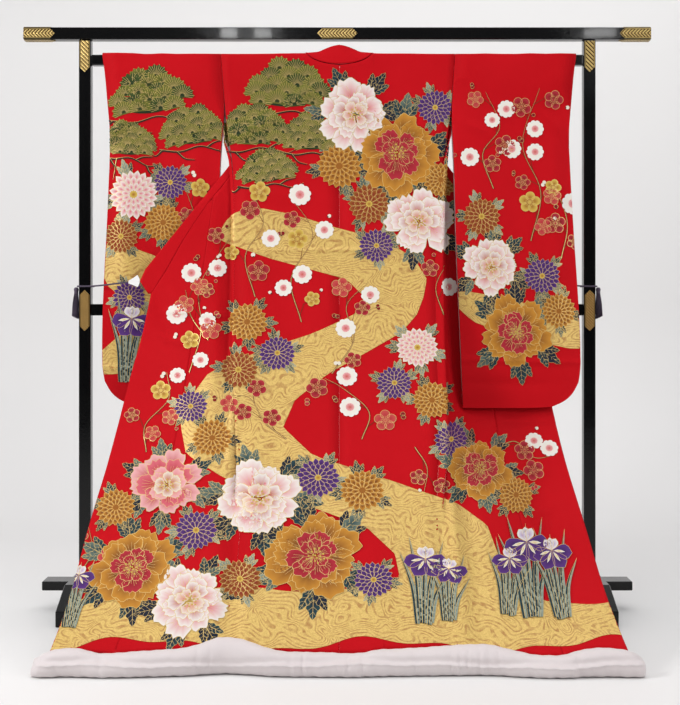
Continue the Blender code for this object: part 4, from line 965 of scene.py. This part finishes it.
def peony(spot, r, kind, luck):
    """Broad ruffled petals in uneven rings round a tuft of stamens."""
    rings = {"white": (("pink", "white"), ("pink", "white"), ("rose", "white"), ("pink", "cream")),
             "gold": (("umber", "ochre"), ("umber", "ochre"), ("crimson", "rose"), ("crimson", "rose")),
             "pink": (("rose", "blush"), ("rose", "pink"), ("pink", "blush"), ("rose", "cream"))}[kind]
    layer = PEONY
    lean = luck.random() * math.tau
    sizes = ((9, 1.0, 0.34, 0.46), (7, 0.80, 0.24, 0.52), (7, 0.58, 0.14, 0.52), (6, 0.38, 0.05, 0.60))
    for (deep, light), (count, reach, near, half) in zip(rings, sizes):
        spin = luck.random() * 2
        for i in range(count):
            angle = spin + math.tau * (i + 0.35 * luck.uniform(-1, 1)) / count
            far = r * reach * (0.92 + 0.12 * luck.uniform(-1, 1) + 0.06 * math.cos(angle - lean))
            shape = ruffled_petal(angle, r * near, far, half * luck.uniform(0.85, 1.12), luck)
            middle = turned(angle + 0.1 * luck.uniform(-1, 1), r * near * 0.75 + far * 0.25)
            spot.fan(shape, middle, deep, light, layer)
            spot.line(shape[:13], 0.0011, layer + 1)
            spot.line([shape[12], shape[13]], 0.0006, layer + 1)
            spot.line([shape[15], shape[0]], 0.0006, layer + 1)
            for turn in (-0.42, -0.14, 0.16, 0.40):
                spot.line([turned(angle + half * turn * 0.7, r * near * 1.1 + far * 0.12),
                           turned(angle + half * turn, far * luck.uniform(0.66, 0.84))], 0.0006, layer + 1)
            layer += 0.12
        layer += 1
    for i in range(19):
        place = turned(i * 2.4, r * 0.20 * math.sqrt(i / 19))
        spot.line([place * 0.4, place], 0.0008, layer + 2)
        spot.disc(place, r * 0.026, 5, "lemon", "gold", layer + 3)


LEAF_TEETH = 4


def leaf(spot, base, tip, width, inner, outer, layer):
    """A toothed leaf with gold veins."""
    along = tip - base
    side = 1j * along / (abs(along) or 1)
    left, right = [], []
    for i in range(1, 2 * LEAF_TEETH):
        t = i / (2 * LEAF_TEETH)
        half = width / 2 * math.sin(math.pi * t ** 0.8) ** 0.8 * (1.10 if i % 2 else 0.80)
        left.append(base + along * t + side * half)
        right.append(base + along * t - side * half)
    outline = [base] + left + [tip] + right[::-1]
    spot.fan(outline, base + along * 0.45, inner, outer, layer)
    spot.line([base, tip], 0.0011, layer + 1, taper=True)
    spot.line(outline, 0.0007, layer + 1, closed=True)
    for t in (0.22, 0.40, 0.58, 0.74):
        reach = width * 0.40 * math.sin(math.pi * t ** 0.8)
        for sign in (1, -1):
            spot.line([base + along * t, base + along * (t + 0.14) + side * sign * reach], 0.0006, layer + 1)


def leaf_ring(spot, r, count, inks, luck, reach):
    """Leaves that show round a flower, in groups of three leaflets."""
    for i in range(count):
        angle = math.tau * (i + 0.4 * luck.random()) / count
        root = turned(angle, r * 0.72)
        for lean, share in ((-0.52, 0.80), (0.52, 0.80), (0.0, 1.0)):
            inner, outer = luck.choice(inks)
            tip = root + turned(angle + lean, r * (reach - 0.72) * share)
            leaf(spot, root, tip, r * 0.5 * share * 0.62, inner, outer, LEAF + luck.randint(0, 3))


DARK_LEAVES = (("navy", "teal"), ("navy", "navy"), ("teal", "sage"))
GREY_LEAVES = (("teal", "sage"), ("sage", "mist"), ("navy", "teal"))


TWIG_WIDTH, BLOSSOM_RADIUS = 0.0045, 0.028
BLOSSOM_KINDS = ("white", "red", "white", "salmon", "gold", "red")


def twig(spot, points, blossoms, luck):
    """A plum twig with side shoots, buds and open blossoms along it."""
    line = smooth_line(points)
    spot.line(line, TWIG_WIDTH, TWIG, ink="umber", taper=True)
    spot.line(line, TWIG_WIDTH * 0.35, TWIG + 1, taper=True)
    for number in range(blossoms):
        t = (number + 0.7) / (blossoms + 0.4)
        i = min(len(line) - 2, int(t * (len(line) - 1)))
        along = line[i + 1] - line[i]
        sign = 1 if number % 2 else -1
        heading = math.atan2(along.imag, along.real) + sign * (0.55 + 0.5 * luck.random())
        reach = BLOSSOM_RADIUS * (1.1 + 1.1 * luck.random())
        end = line[i] + turned(heading, reach)
        spot.line([line[i], line[i] + turned(heading - sign * 0.3, reach * 0.6), end], 0.0018, TWIG,
                  ink="umber", taper=True)
        r = BLOSSOM_RADIUS * (0.80 + 0.35 * luck.random())
        plum_blossom(spot.at(end), r, luck.choice(BLOSSOM_KINDS), luck)
        if luck.random() < 0.6:
            side = end + turned(heading + luck.uniform(-1.2, 1.2), r * 1.6)
            small = spot.at(side, math.degrees(heading) - 90 + luck.uniform(-40, 40))
            bud(small, r * 0.20, luck.choice(("cream", "rose", "crimson")), luck)


def pine(spot, w, luck):
    """A pine's rounded cloud: needles that spread like open fans, on a forked red-brown bough."""
    for points in ((-0.60 - 0.24j, -0.25 - 0.31j, 0.10 - 0.26j, 0.45 - 0.38j, 0.66 - 0.31j),
                   (-0.30 - 0.31j, -0.18 - 0.44j, -0.02 - 0.48j), (0.20 - 0.29j, 0.34 - 0.22j, 0.52 - 0.20j),
                   (0.42 - 0.37j, 0.50 - 0.50j, 0.62 - 0.54j), (-0.55 - 0.25j, -0.66 - 0.33j, -0.72 - 0.32j)):
        bough = smooth_line([p * w for p in points])
        spot.line(bough, 0.0066, TWIG, ink="bark", taper=True)
        spot.line([p + 0.0024j for p in bough], 0.0011, TWIG + 1, taper=True)
    spot.fan([w * complex(0.50 * math.cos(math.tau * k / 40), 0.05 + 0.25 * math.sin(math.tau * k / 40))
              for k in range(40)], 0.05j * w, "pine", "pine", LEAF - 1)
    layer = LEAF
    for count, up, wide in ((2, 0.30, 0.22), (3, 0.20, 0.24), (4, 0.09, 0.23), (5, -0.03, 0.22),
                            (4, -0.15, 0.24)):
        for i in range(count):
            middle = w * complex((i - (count - 1) / 2) * wide + luck.uniform(-0.03, 0.03),
                                 up + luck.uniform(-0.02, 0.02))
            r = w * luck.uniform(0.155, 0.185)
            lean = 0.25 * luck.uniform(-1, 1) - 0.35 * middle.real / w
            fan = [middle + turned(math.pi / 2 + lean + (k / 16 - 0.5) * 3.6, r * (1.0 if k % 2 else 0.84))
                   for k in range(17)]
            green = "olive" if (i + count) % 3 else "moss"
            spot.fan(fan + [middle - 0.16j * r], middle, "pine", green, layer)
            for k in range(17):
                spot.line([middle + (fan[k] - middle) * 0.20, fan[k]], 0.0009, layer + 0.4)
            layer += 0.5


def iris(spot, h, luck):
    """Sword leaves and one open flower: falls with yellow throats below upright standards."""
    for lean, reach in ((-0.34, 0.95), (-0.20, 1.16), (-0.08, 0.88), (0.05, 1.05), (0.17, 0.84),
                        (0.30, 1.10), (0.40, 0.72)):
        base = complex(lean * 0.22 * h, 0.02 * h * luck.uniform(-1, 1))
        tip = complex(lean * h * 0.85, reach * h)
        bend = (base + tip) / 2 + complex(-0.05 * h * lean / 0.3, 0)
        middle = smooth_line([base, bend, tip], 5)
        wide = h * 0.030
        halves = [wide * math.sin(math.pi * min(1.0, 0.30 + 0.70 * i / 10)) ** 0.8 for i in range(11)]
        for sign, inner, outer in ((-1, "navy", "teal"), (1, "sage", "mist")):
            for i in range(10):
                a, b = middle[i], middle[i + 1]
                corners = [spot.put(p) for p in (a, a + sign * halves[i], b + sign * halves[i + 1], b)]
                spot.ground.lay_four(spot.ground.paint, corners, (INK[inner],) + (INK[outer],) * 3, IRIS)
        spot.line(middle, 0.0007, IRIS + 1)
        spot.line([p - w for p, w in zip(middle, halves)], 0.0005, IRIS + 1)
    head = complex(0.03 * h, 0.84 * h)
    r = 0.27 * h
    for angle, deep, light, wide in ((1.05, "lilac", "white", 0.40), (2.05, "lilac", "white", 0.40),
                                     (1.57, "violet", "white", 0.34), (-0.20, "plum", "violet", 0.70),
                                     (3.35, "plum", "violet", 0.70), (-1.05, "plum", "violet", 0.74),
                                     (-2.10, "plum", "violet", 0.74)):
        far = r * (0.62 if 0 < angle < 3 else 1.0)
        shape = petal_shape(head, head + turned(angle, far), r * wide, 6, 0.62, 0.2, luck)
        spot.fan(shape, head + turned(angle, far * 0.5), deep, light, IRIS + 3)
        spot.line(shape, 0.0008, IRIS + 4, closed=True)
        if not 0 < angle < 3:
            throat = petal_shape(head + turned(angle, r * 0.10), head + turned(angle, r * 0.66), r * 0.13, 3)
            spot.fan(throat, head + turned(angle, r * 0.35), "lemon", "white", IRIS + 5)


STREAM_CELL, SHORE_CELL = 0.011, 0.012


def stream(ground, rows):
    """Gold leaf laid between two banks; rows are (x of the left bank, x of the right, height)."""
    left, right, z = np.array(rows).T
    fine = np.linspace(z[0], z[-1], max(2, int(abs(z[-1] - z[0]) / STREAM_CELL)))
    order = np.argsort(z)
    left, right = (np.interp(fine, z[order], bank[order]) for bank in (left, right))
    for i in range(len(fine) - 1):
        count = max(1, int((right[i] - left[i]) / STREAM_CELL))
        for k in range(count):
            corners = [(GARMENT_X + left[j] + (right[j] - left[j]) * m / count, float(fine[j]))
                       for j, m in ((i, k), (i, k + 1), (i + 1, k + 1), (i + 1, k))]
            ground.lay_four(ground.leaf, corners, (INK["gold"],) * 4, STREAM)


def shore(ground, low, high, left, right):
    """A band of gold leaf above the hem between two wavering lines, low(x) and high(x)."""
    columns = int((right - left) / SHORE_CELL)
    for i in range(columns):
        xs = [left + (right - left) * (i + k) / columns for k in (0, 1)]
        count = max(1, int((high(xs[0]) - low(xs[0])) / SHORE_CELL))
        for k in range(count):
            corners = [(GARMENT_X + x, low(x) + (high(x) - low(x)) * m / count)
                       for x, m in ((xs[0], k), (xs[1], k), (xs[1], k + 1), (xs[0], k + 1))]
            ground.lay_four(ground.leaf, corners, (INK["gold"],) * 4, STREAM)


def eddy_group():
    """Masks of gold leaf on silk: broken lines of current, and the flakes of crumpled leaf, which mark its
    uneven tone and the painted glints where it catches the light.
    """
    group, _, leave = new_group("stream_eddies", {}, {"Lines": "Float", "Flakes": "Float", "Height": "Float"})
    step = math_steps(group)
    split = on_object(group, "ShaderNodeSeparateXYZ")
    swell = on_object(group, "ShaderNodeTexNoise", Scale=11.0, Detail=1.0, Distortion=0.7)
    breaks = on_object(group, "ShaderNodeTexNoise", Scale=75.0, Detail=2.0)
    flakes = on_object(group, "ShaderNodeTexVoronoi", Scale=330.0)
    fine = on_object(group, "ShaderNodeTexNoise", Scale=420.0, Detail=3.0)
    grey = plain_node(group, "ShaderNodeSeparateColor")
    wire(group, (flakes, "Color", grey, "Color"))
    run = step("ADD", step("MULTIPLY", swell.outputs["Fac"], 95.0),
               step("MULTIPLY", split.outputs["Z"], 520.0))
    drawn = step("GREATER_THAN", step("SINE", run), 0.30)
    kept = step("MULTIPLY", step("SUBTRACT", breaks.outputs["Fac"], 0.30), 3.0)
    lines = step("MULTIPLY", step("MULTIPLY", drawn, step("MINIMUM", step("MAXIMUM", kept, 0.0), 1.0)), 0.62)
    mixed = step("ADD", step("MULTIPLY", grey.outputs["Red"], 0.30),
                 step("MULTIPLY", fine.outputs["Fac"], 0.70))
    for value, label in ((lines, "Lines"), (mixed, "Flakes"), (step("SUBTRACT", mixed, lines), "Height")):
        group.links.new(value, leave.inputs[label])
    return group


dye, dye_tree, dye_shader = new_material("dyed_silk", (0.8, 0.7, 0.6), 0.62, Specular_IOR_Level=0.2)
dye_tone = plain_node(dye_tree, "ShaderNodeVertexColor", layer_name="ink")
dye_weave = plain_node(dye_tree, "ShaderNodeGroup", node_tree=WEAVE, Bump=0.3)
wire(dye_tree, (dye_tone, "Color", dye_shader, "Base Color"), (dye_weave, "Normal", dye_shader, "Normal"))

thread = new_material("gold_thread", (0.62, 0.44, 0.16), 0.42, 0.55)[0]

leafing, leaf_tree, leaf_shader = new_material("gold_leaf", (0.55, 0.36, 0.10), 0.48, 0.25)
leaf_eddies = plain_node(leaf_tree, "ShaderNodeGroup", node_tree=eddy_group())
# The brighter flakes are painted glints of crumpled leaf, laid over the leaf's own uneven tone.
leaf_flake_glint = mix_node(leaf_tree, linear((0.68, 0.53, 0.24)), linear((0.90, 0.78, 0.46)))
leaf_lines = mix_node(leaf_tree, high=linear((0.55, 0.31, 0.12)))
wire(leaf_tree, (leaf_eddies, "Flakes", leaf_flake_glint, "Factor"), (leaf_flake_glint, "Result", leaf_lines, "A"),
     (leaf_eddies, "Lines", leaf_lines, "Factor"), (leaf_lines, "Result", leaf_shader, "Base Color"))
raise_surface(leaf_tree, leaf_shader, leaf_eddies, "Height", 0.35, 0.0005)

# What lies on each ground.  Streams: left bank, right bank, height.  Flowers: kind, ink, x, height, radius.
# Twigs: x, height, points from there, blossoms.  Pines: x, height, width.  Irises: x, height, length.
STREAMS = {
    "body": ((-0.262, -0.215, 1.152), (-0.292, -0.165, 1.142), (-0.318, -0.10, 1.126), (-0.335, -0.02, 1.10),
             (-0.338, 0.13, 1.06), (-0.20, 0.21, 1.01),
             (0.02, 0.245, 0.95), (0.07, 0.235, 0.90), (0.04, 0.215, 0.85), (-0.07, 0.17, 0.80),
             (-0.22, 0.08, 0.75), (-0.36, -0.03, 0.69), (-0.41, -0.12, 0.62), (-0.43, -0.15, 0.55),
             (-0.41, -0.07, 0.48), (-0.30, 0.13, 0.42), (-0.10, 0.30, 0.365), (0.07, 0.38, 0.31),
             (0.14, 0.40, 0.25), (0.15, 0.42, 0.20), (0.12, 0.46, 0.165), (0.06, 0.52, 0.14)),
    "sleeve_left": (
        (-0.70, -0.665, 1.055), (-0.70, -0.60, 1.045), (-0.70, -0.53, 1.02), (-0.69, -0.47, 0.985),
        (-0.66, -0.44, 0.93), (-0.58, -0.40, 0.87), (-0.60, -0.34, 0.815), (-0.66, -0.33, 0.765),
        (-0.70, -0.37, 0.73), (-0.70, -0.45, 0.705), (-0.70, -0.56, 0.688), (-0.70, -0.65, 0.680)),
    "sleeve_right": ((0.32, 0.37, 0.915), (0.32, 0.44, 0.903), (0.325, 0.52, 0.885), (0.345, 0.61, 0.86),
                     (0.38, 0.70, 0.83), (0.46, 0.70, 0.80), (0.55, 0.70, 0.775), (0.65, 0.70, 0.755)),
}
FLOWERS = {
    "body": (("peony", "gold", 0.165, 1.315, 0.125), ("peony", "white", 0.045, 1.425, 0.105),
        ("peony", "white", 0.225, 1.115, 0.105), ("mum", "violet", 0.275, 1.445, 0.052),
        ("mum", "gold", 0.000, 1.275, 0.066), ("mum", "amber", 0.085, 1.165, 0.060),
        ("mum", "violet", 0.105, 1.045, 0.050), ("mum", "gold", 0.290, 1.235, 0.052),
        ("mum", "gold", -0.255, 0.830, 0.058), ("mum", "violet", -0.170, 0.745, 0.052),
        ("mum", "amber", -0.275, 0.700, 0.056), ("mum", "pink", 0.215, 0.760, 0.060),
        ("mum", "violet", 0.150, 0.665, 0.050), ("mum", "gold", 0.250, 0.620, 0.055),
        ("peony", "white", -0.205, 0.375, 0.118), ("peony", "gold", -0.060, 0.245, 0.125),
        ("mum", "violet", -0.055, 0.425, 0.058), ("mum", "gold", 0.060, 0.395, 0.060),
        ("mum", "amber", -0.245, 0.195, 0.054), ("mum", "violet", 0.085, 0.195, 0.050),
        ("peony", "pink", -0.455, 0.400, 0.100), ("peony", "gold", -0.520, 0.215, 0.112),
        ("peony", "white", -0.365, 0.150, 0.100), ("mum", "violet", -0.365, 0.300, 0.056),
        ("mum", "gold", -0.585, 0.345, 0.054), ("mum", "gold", -0.340, 0.520, 0.056),
        ("mum", "violet", -0.405, 0.600, 0.048), ("peony", "gold", 0.375, 0.440, 0.092),
        ("mum", "violet", 0.300, 0.515, 0.050), ("mum", "gold", 0.470, 0.370, 0.052)),
    "sleeve_left": (("mum", "pink", -0.590, 1.195, 0.072), ("mum", "violet", -0.485, 1.230, 0.050),
        ("mum", "gold", -0.505, 1.115, 0.056), ("mum", "amber", -0.625, 1.075, 0.050),
        ("mum", "violet", -0.600, 0.900, 0.048)),
    "sleeve_right": (("peony", "gold", 0.500, 0.800, 0.105), ("peony", "white", 0.430, 0.985, 0.088),
        ("mum", "violet", 0.575, 0.960, 0.052), ("mum", "gold", 0.620, 0.860, 0.050),
        ("mum", "amber", 0.405, 1.130, 0.054)),
    "rear_left": (("mum", "gold", -0.560, 0.860, 0.060), ("mum", "violet", -0.470, 0.800, 0.052),
        ("mum", "pink", -0.610, 0.760, 0.056)),
    "rear_right": (("mum", "gold", 0.560, 0.900, 0.060), ("mum", "violet", 0.480, 0.830, 0.052),
        ("mum", "amber", 0.600, 0.790, 0.054)),
}
TWIGS = {
    "body": ((-0.105, 0.830, (0, -0.03 + 0.13j, 0.03 + 0.26j, -0.04 + 0.38j), 7),
        (-0.235, 0.900, (0, -0.03 + 0.12j, 0.02 + 0.22j, -0.02 + 0.32j), 5),
        (-0.020, 0.690, (0, 0.06 + 0.10j, 0.04 + 0.20j, 0.10 + 0.27j), 5),
        (0.060, 0.520, (0, 0.02 + 0.08j, -0.05 + 0.15j, -0.10 + 0.18j), 4),
        (0.290, 0.850, (0, -0.02 + 0.08j, 0.01 + 0.15j), 2),
        (-0.415, 0.690, (0, 0.03 + 0.13j, 0.02 + 0.26j, 0.10 + 0.40j), 8),
        (-0.365, 0.780, (0, -0.05 + 0.07j, -0.07 + 0.15j), 3),
        (-0.520, 0.480, (0, -0.01 + 0.08j, 0.05 + 0.16j, 0.04 + 0.24j), 5),
        (-0.140, 0.520, (0, -0.06 + 0.05j, -0.10 + 0.12j, -0.16 + 0.13j), 4),
        (0.430, 0.480, (0, 0.06 + 0.02j, 0.11 - 0.03j, 0.17 - 0.02j), 4),
        (0.200, 0.500, (0, 0.03 - 0.06j, 0.02 - 0.13j), 2),
        (-0.660, 0.190, (0, 0.03 + 0.07j, 0.01 + 0.14j), 2)),
    "sleeve_right": ((0.545, 1.060, (0, 0.03 + 0.14j, -0.02 + 0.28j, 0.03 + 0.44j), 9),
        (0.440, 1.210, (0, -0.03 + 0.10j, 0.02 + 0.18j, -0.02 + 0.28j), 6),
        (0.630, 1.010, (0, 0.02 + 0.10j, -0.01 + 0.20j), 4)),
    "sleeve_left": ((-0.430, 1.010, (0, 0.02 + 0.10j, -0.01 + 0.20j), 3),
        (-0.640, 1.300, (0, -0.01 - 0.06j), 2)),
    "rear_left": ((-0.500, 0.940, (0, -0.05 + 0.15j, 0.02 + 0.30j, -0.03 + 0.45j), 8),),
    "rear_right": ((0.500, 0.960, (0, 0.05 + 0.15j, -0.02 + 0.30j, 0.03 + 0.45j), 8),),
}
PINES = {
    "body": ((-0.150, 1.490, 0.215), (-0.245, 1.375, 0.185), (-0.085, 1.355, 0.160),
        (-0.205, 1.260, 0.150)),
    "sleeve_left": ((-0.545, 1.470, 0.205), (-0.420, 1.375, 0.170), (-0.610, 1.340, 0.150)),
}
IRISES = {
    "body": ((0.470, 0.115, 0.235), (0.545, 0.110, 0.205), (0.410, 0.120, 0.180), (0.205, 0.105, 0.210),
             (0.265, 0.110, 0.170), (-0.655, 0.095, 0.160)),
    "sleeve_left": ((-0.610, 0.660, 0.215), (-0.540, 0.665, 0.180), (-0.475, 0.660, 0.200)),
}

BODY_PANELS = ("back_left", "back_right", "front_left", "front_right", "overlap_left", "overlap_right")
grounds = {"body": Ground([shells[node] for node in BODY_PANELS], sloped=True)}
for side in ("left", "right"):
    grounds["sleeve_" + side] = Ground([shells["sleeve_%s_outer" % side]])
    grounds["rear_" + side] = Ground([shells["sleeve_%s_inner" % side]], facing=-1)
luck = random.Random(11)


def shore_foot(x):
    """The lower edge of the shore."""
    return 0.062 + 0.013 * math.sin(11 * x + 0.6) + 0.006 * math.sin(31 * x)


def shore_top(x):
    """The upper edge of the shore."""
    return 0.158 + 0.020 * math.sin(5 * x + 2.2) + 0.008 * math.sin(17 * x)


def placed(table):
    """Each row of a table, after the ground that it is listed under."""
    return [(grounds[name], *row) for name, rows in table.items() for row in rows]


shore(grounds["body"], shore_foot, shore_top, -0.80, 0.80)
for name, rows in STREAMS.items():
    stream(grounds[name], rows)
for ground, x, z, w in placed(PINES):
    pine(Spot(ground, x, z, luck.uniform(-8, 8)), w, luck)
for ground, x, z, points, blossoms in placed(TWIGS):
    twig(Spot(ground, x, z), points, blossoms, luck)
for ground, kind, ink, x, z, r in placed(FLOWERS):
    spot = Spot(ground, x, z, luck.uniform(0, 60))
    if kind == "peony":
        leaf_ring(spot, r, 6, DARK_LEAVES, luck, 1.42)
        peony(spot, r, ink, luck)
    else:
        leaf_ring(spot, r, 5, GREY_LEAVES if ink != "gold" else DARK_LEAVES, luck, 1.50)
        chrysanthemum(spot, r, ink, luck)
for ground, x, z, h in placed(IRISES):
    iris(Spot(ground, x, z, luck.uniform(-6, 6)), h, luck)

for name, ground in grounds.items():
    for kind, skins, look in (("dye", ground.paint, dye), ("thread", ground.thread, thread),
                              ("leaf", ground.leaf, leafing)):
        points, faces, colours = skins
        if faces:
            skin = mesh_piece("%s_%s" % (kind, name), points, faces, look)
            if kind == "dye":
                tones = skin.data.color_attributes.new("ink", "FLOAT_COLOR", "POINT")
                tones.data.foreach_set("color", [c for tone in colours for c in (*tone, 1.0)])
            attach(skin, "root")


# --- hem roll --------------------------------------------------------------------------------------
# The padded hem: a tube of pale lining silk stuffed with silk floss, which lies forward on the
# floor, sewn to the lower edge of every panel and gathered a little where the robe bends.
GATHERS = (     # how far each one is from the middle line, and how wide it is
    (0.262, 0.011), (0.284, 0.009), (0.303, 0.012), (0.331, 0.008), (0.352, 0.010), (0.375, 0.009),
    (-0.115, 0.012), (-0.085, 0.010), (-0.335, 0.013), (-0.305, 0.011), (0.180, 0.014),
    (0.055, 0.012), (0.020, 0.010), (-0.560, 0.016), (0.560, 0.015))
GATHER_BACK, GATHER_DOWN = 0.0034, 0.0014     # how far the roll's front is drawn in at a gather
FRONT_DEPTH, FRONT_FADE = 0.055, 0.05         # what counts as its front, and how softly it ends
RIDGE_HIGH, CREST_DEPTH = 0.030, 0.0042       # a sewn ridge along the roll, and
DIP_ABOVE, DIP_DEPTH = 0.0110, 0.0058         # the furrow over it
FLOOR_GAP = 0.0003
roll = smooth_piece("hem_roll_silk", quad_shape("hem_roll", 70, 70), SUBDIVISIONS)
cover(roll, lining)
roll_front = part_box("hem_roll")[0].y
for vert in roll.data.vertices:
    x, y, z = vert.co
    pull = 0.0
    for at, wide in GATHERS:
        pull += math.exp(-((x - GARMENT_X - at) / (wide * 0.45)) ** 2)
    wrinkle = 0.0008 * math.sin(x * 210 + z * 60) + 0.0006 * math.sin(x * 97 + 1.3 + z * 40)
    forward = max(0.0, min(1.0, (roll_front + FRONT_DEPTH - y) / FRONT_FADE))
    ridge = RIDGE_HIGH + 0.004 * math.sin(9 * x + 1.0) + 0.002 * math.sin(31 * x)
    dip = DIP_DEPTH * math.exp(-((z - ridge - DIP_ABOVE) / 0.0065) ** 2)
    crest = CREST_DEPTH * math.exp(-((z - ridge) / 0.0034) ** 2)
    vert.co.y += GATHER_BACK * pull * forward + wrinkle * forward + (dip - crest) * forward
    vert.co.z = max(FLOOR_GAP, z - GATHER_DOWN * pull * forward + wrinkle * 0.5 - dip * 0.6)
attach(roll, "root")
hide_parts("hem_roll")


# --- ties: cords, loops, tassels and clips ---------------------------------------------------------
# A turn of the same purple cord is drawn tight round each post and ends in a tassel of silk floss
# under a bound head.  A small ribbed fan of white plastic grips the collar's tip.
TASSEL_LENGTH = 0.094
TASSEL_HEAD = 0.018
STRAND_RADIUS = 0.00045
LOOP_CORNER = 0.005
CORD_GAP = 0.0003

clip_look, clip_tree, clip_shader = new_material("white_plastic", (0.78, 0.78, 0.76), 0.36)
clip_marks = on_object(clip_tree, "ShaderNodeTexNoise", Scale=300.0, Detail=3.0)
clip_tone = plain_node(clip_tree, "ShaderNodeMapRange", To_Min=0.30, To_Max=0.44)
wire(clip_tree, (clip_marks, "Fac", clip_tone, "Value"), (clip_tone, "Result", clip_shader, "Roughness"))


def post_turn(centre_x, half):
    """A square line with round corners about a post, at the ties' height."""
    line = []
    for quarter in range(4):
        start = quarter * math.pi / 2
        x0 = centre_x + math.copysign(half - LOOP_CORNER, math.cos(math.pi / 4 + start))
        y0 = posts_y + math.copysign(half - LOOP_CORNER, math.sin(math.pi / 4 + start))
        for step in range(7):
            angle = start + math.radians(15 * step)
            line.append(Vector((x0 + LOOP_CORNER * math.cos(angle),
                                y0 + LOOP_CORNER * math.sin(angle), TIE_Z)))
    return line


def tassel(name, x, y, top, sign, luck):
    """A bound head over fine strands, longest towards the post, which spread and hang outwards a little."""
    profile = [(0.0001, 0.0), (0.0036, -0.0002), (0.0052, -0.0015), (0.0064, -0.0035), (0.0070, -0.006),
               (0.0070, -0.0085), (0.0063, -0.0105), (0.0058, -0.0112), (0.0063, -0.0119), (0.0058, -0.0127),
               (0.0063, -0.0135), (0.0058, -0.0143), (0.0063, -0.0151), (0.0058, -0.0160), (0.0066, -0.0176),
               (0.0050, -0.0200), (0.0001, -0.0205)]
    sides, strands, steps = 20, 150, 7
    turns = [math.tau * k / sides for k in range(sides)]
    points = [(x + radius * math.cos(turn), y + radius * math.sin(turn), top + drop)
              for radius, drop in profile for turn in turns]
    faces = tube_faces(len(profile), sides)
    for number in range(strands):
        share = math.sqrt((number + 0.5) / strands)
        angle = number * 2.39996
        slant = 0.5 + 0.5 * share * math.cos(angle) * sign
        length = (TASSEL_LENGTH - TASSEL_HEAD) * (luck.uniform(0.955, 0.998) - 0.13 * slant)
        sway, phase = luck.uniform(0.0002, 0.0007), luck.random() * math.tau
        start = len(points)
        for step in range(steps + 1):
            t = step / steps
            out = share * (0.0056 + 0.0044 * math.sin(math.pi * min(1.0, t * 1.25) / 2))
            cx = x + out * math.cos(angle) + sway * math.sin(5 * t + phase) * t + sign * 0.0026 * t
            cy = y + out * math.sin(angle) + sway * math.cos(4 * t + phase) * t
            for k in range(3):
                turn = math.tau * k / 3 + t
                points.append((cx + STRAND_RADIUS * math.cos(turn), cy + STRAND_RADIUS * math.sin(turn),
                               top - TASSEL_HEAD + 0.001 - length * t))
        last = len(points) - 1
        faces += tube_faces(steps + 1, 3, start)
        faces += [(start, start + 1, start + 2), (last, last - 1, last - 2)]
    return mesh_piece(name, points, faces, silk_cord)


def ribbed_fan(name, node, sign):
    """A thin fan that widens towards the collar, its front and back folded into ribs."""
    low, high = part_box(node)
    near, far = (low.x, high.x) if sign < 0 else (high.x, low.x)
    stem_low, stem_high = low.z + 0.010, low.z + 0.018
    ribs = 14
    points, faces = [], []
    for face in (-1, 1):
        for share in (0.0, 0.5, 1.0):
            for k in range(ribs + 1):
                t = k / ribs
                stem_z, wide_z = stem_low + (stem_high - stem_low) * t, low.z + (high.z - low.z) * t
                z = stem_z * (1 - share) + wide_z * share
                depth = (0.0015 if k % 2 else 0.0008) * (0.5 + 0.5 * share)
                reach = share * (1 - 0.20 * (2 * t - 1) ** 2 * share)
                points.append((near + (far - near) * reach, (low.y + high.y) / 2 + face * depth, z))
    row, sheet_size = ribs + 1, 3 * (ribs + 1)
    for band in range(2):
        for k in range(ribs):
            a = band * row + k
            faces.append((a, a + 1, a + row + 1, a + row))
            b = a + sheet_size
            faces.append((b, b + row, b + row + 1, b + 1))
        for k in (0, ribs):
            a = band * row + k
            faces.append((a, a + row, a + row + sheet_size, a + sheet_size))
    for band in (0, 2):
        for k in range(ribs):
            a = band * row + k
            faces.append((a, a + 1, a + 1 + sheet_size, a + sheet_size))
    piece = mesh_piece(name, points, faces, clip_look, smooth_shade=False)
    shape = bmesh.new()
    shape.from_mesh(piece.data)
    bmesh.ops.recalc_face_normals(shape, faces=shape.faces)
    shape.to_mesh(piece.data)
    shape.free()
    return piece


luck = random.Random(5)
for side in ("left", "right"):
    sign = -1 if side == "left" else 1
    cord, route, line, length = cords[side]
    half = (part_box("post_left")[1].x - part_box("post_left")[0].x) / 2 + CORD_RADIUS + 0.0009
    turn_line = evenly(post_turn(sign * POST_X, half), CORD_SPAN, closed=True)
    loop = twisted_cord("post_turn_" + side, turn_line, closed=True)
    bunch = tassel("floss_tassel_" + side, sign * (POST_X + half + 0.0065), posts_y - 0.004,
                   TIE_Z - CORD_RADIUS - CORD_GAP, sign, luck)
    grip = ribbed_fan("collar_clip_" + side, "clip_" + side, sign)
    for piece, node, slot in ((cord, "cord_", "purple_cord"), (loop, "cord_loop_", "purple_cord"),
                              (bunch, "tassel_", "purple_cord"), (grip, "clip_", "white_clip")):
        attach(piece, "root")
        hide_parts(node + side)
    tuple(route[0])
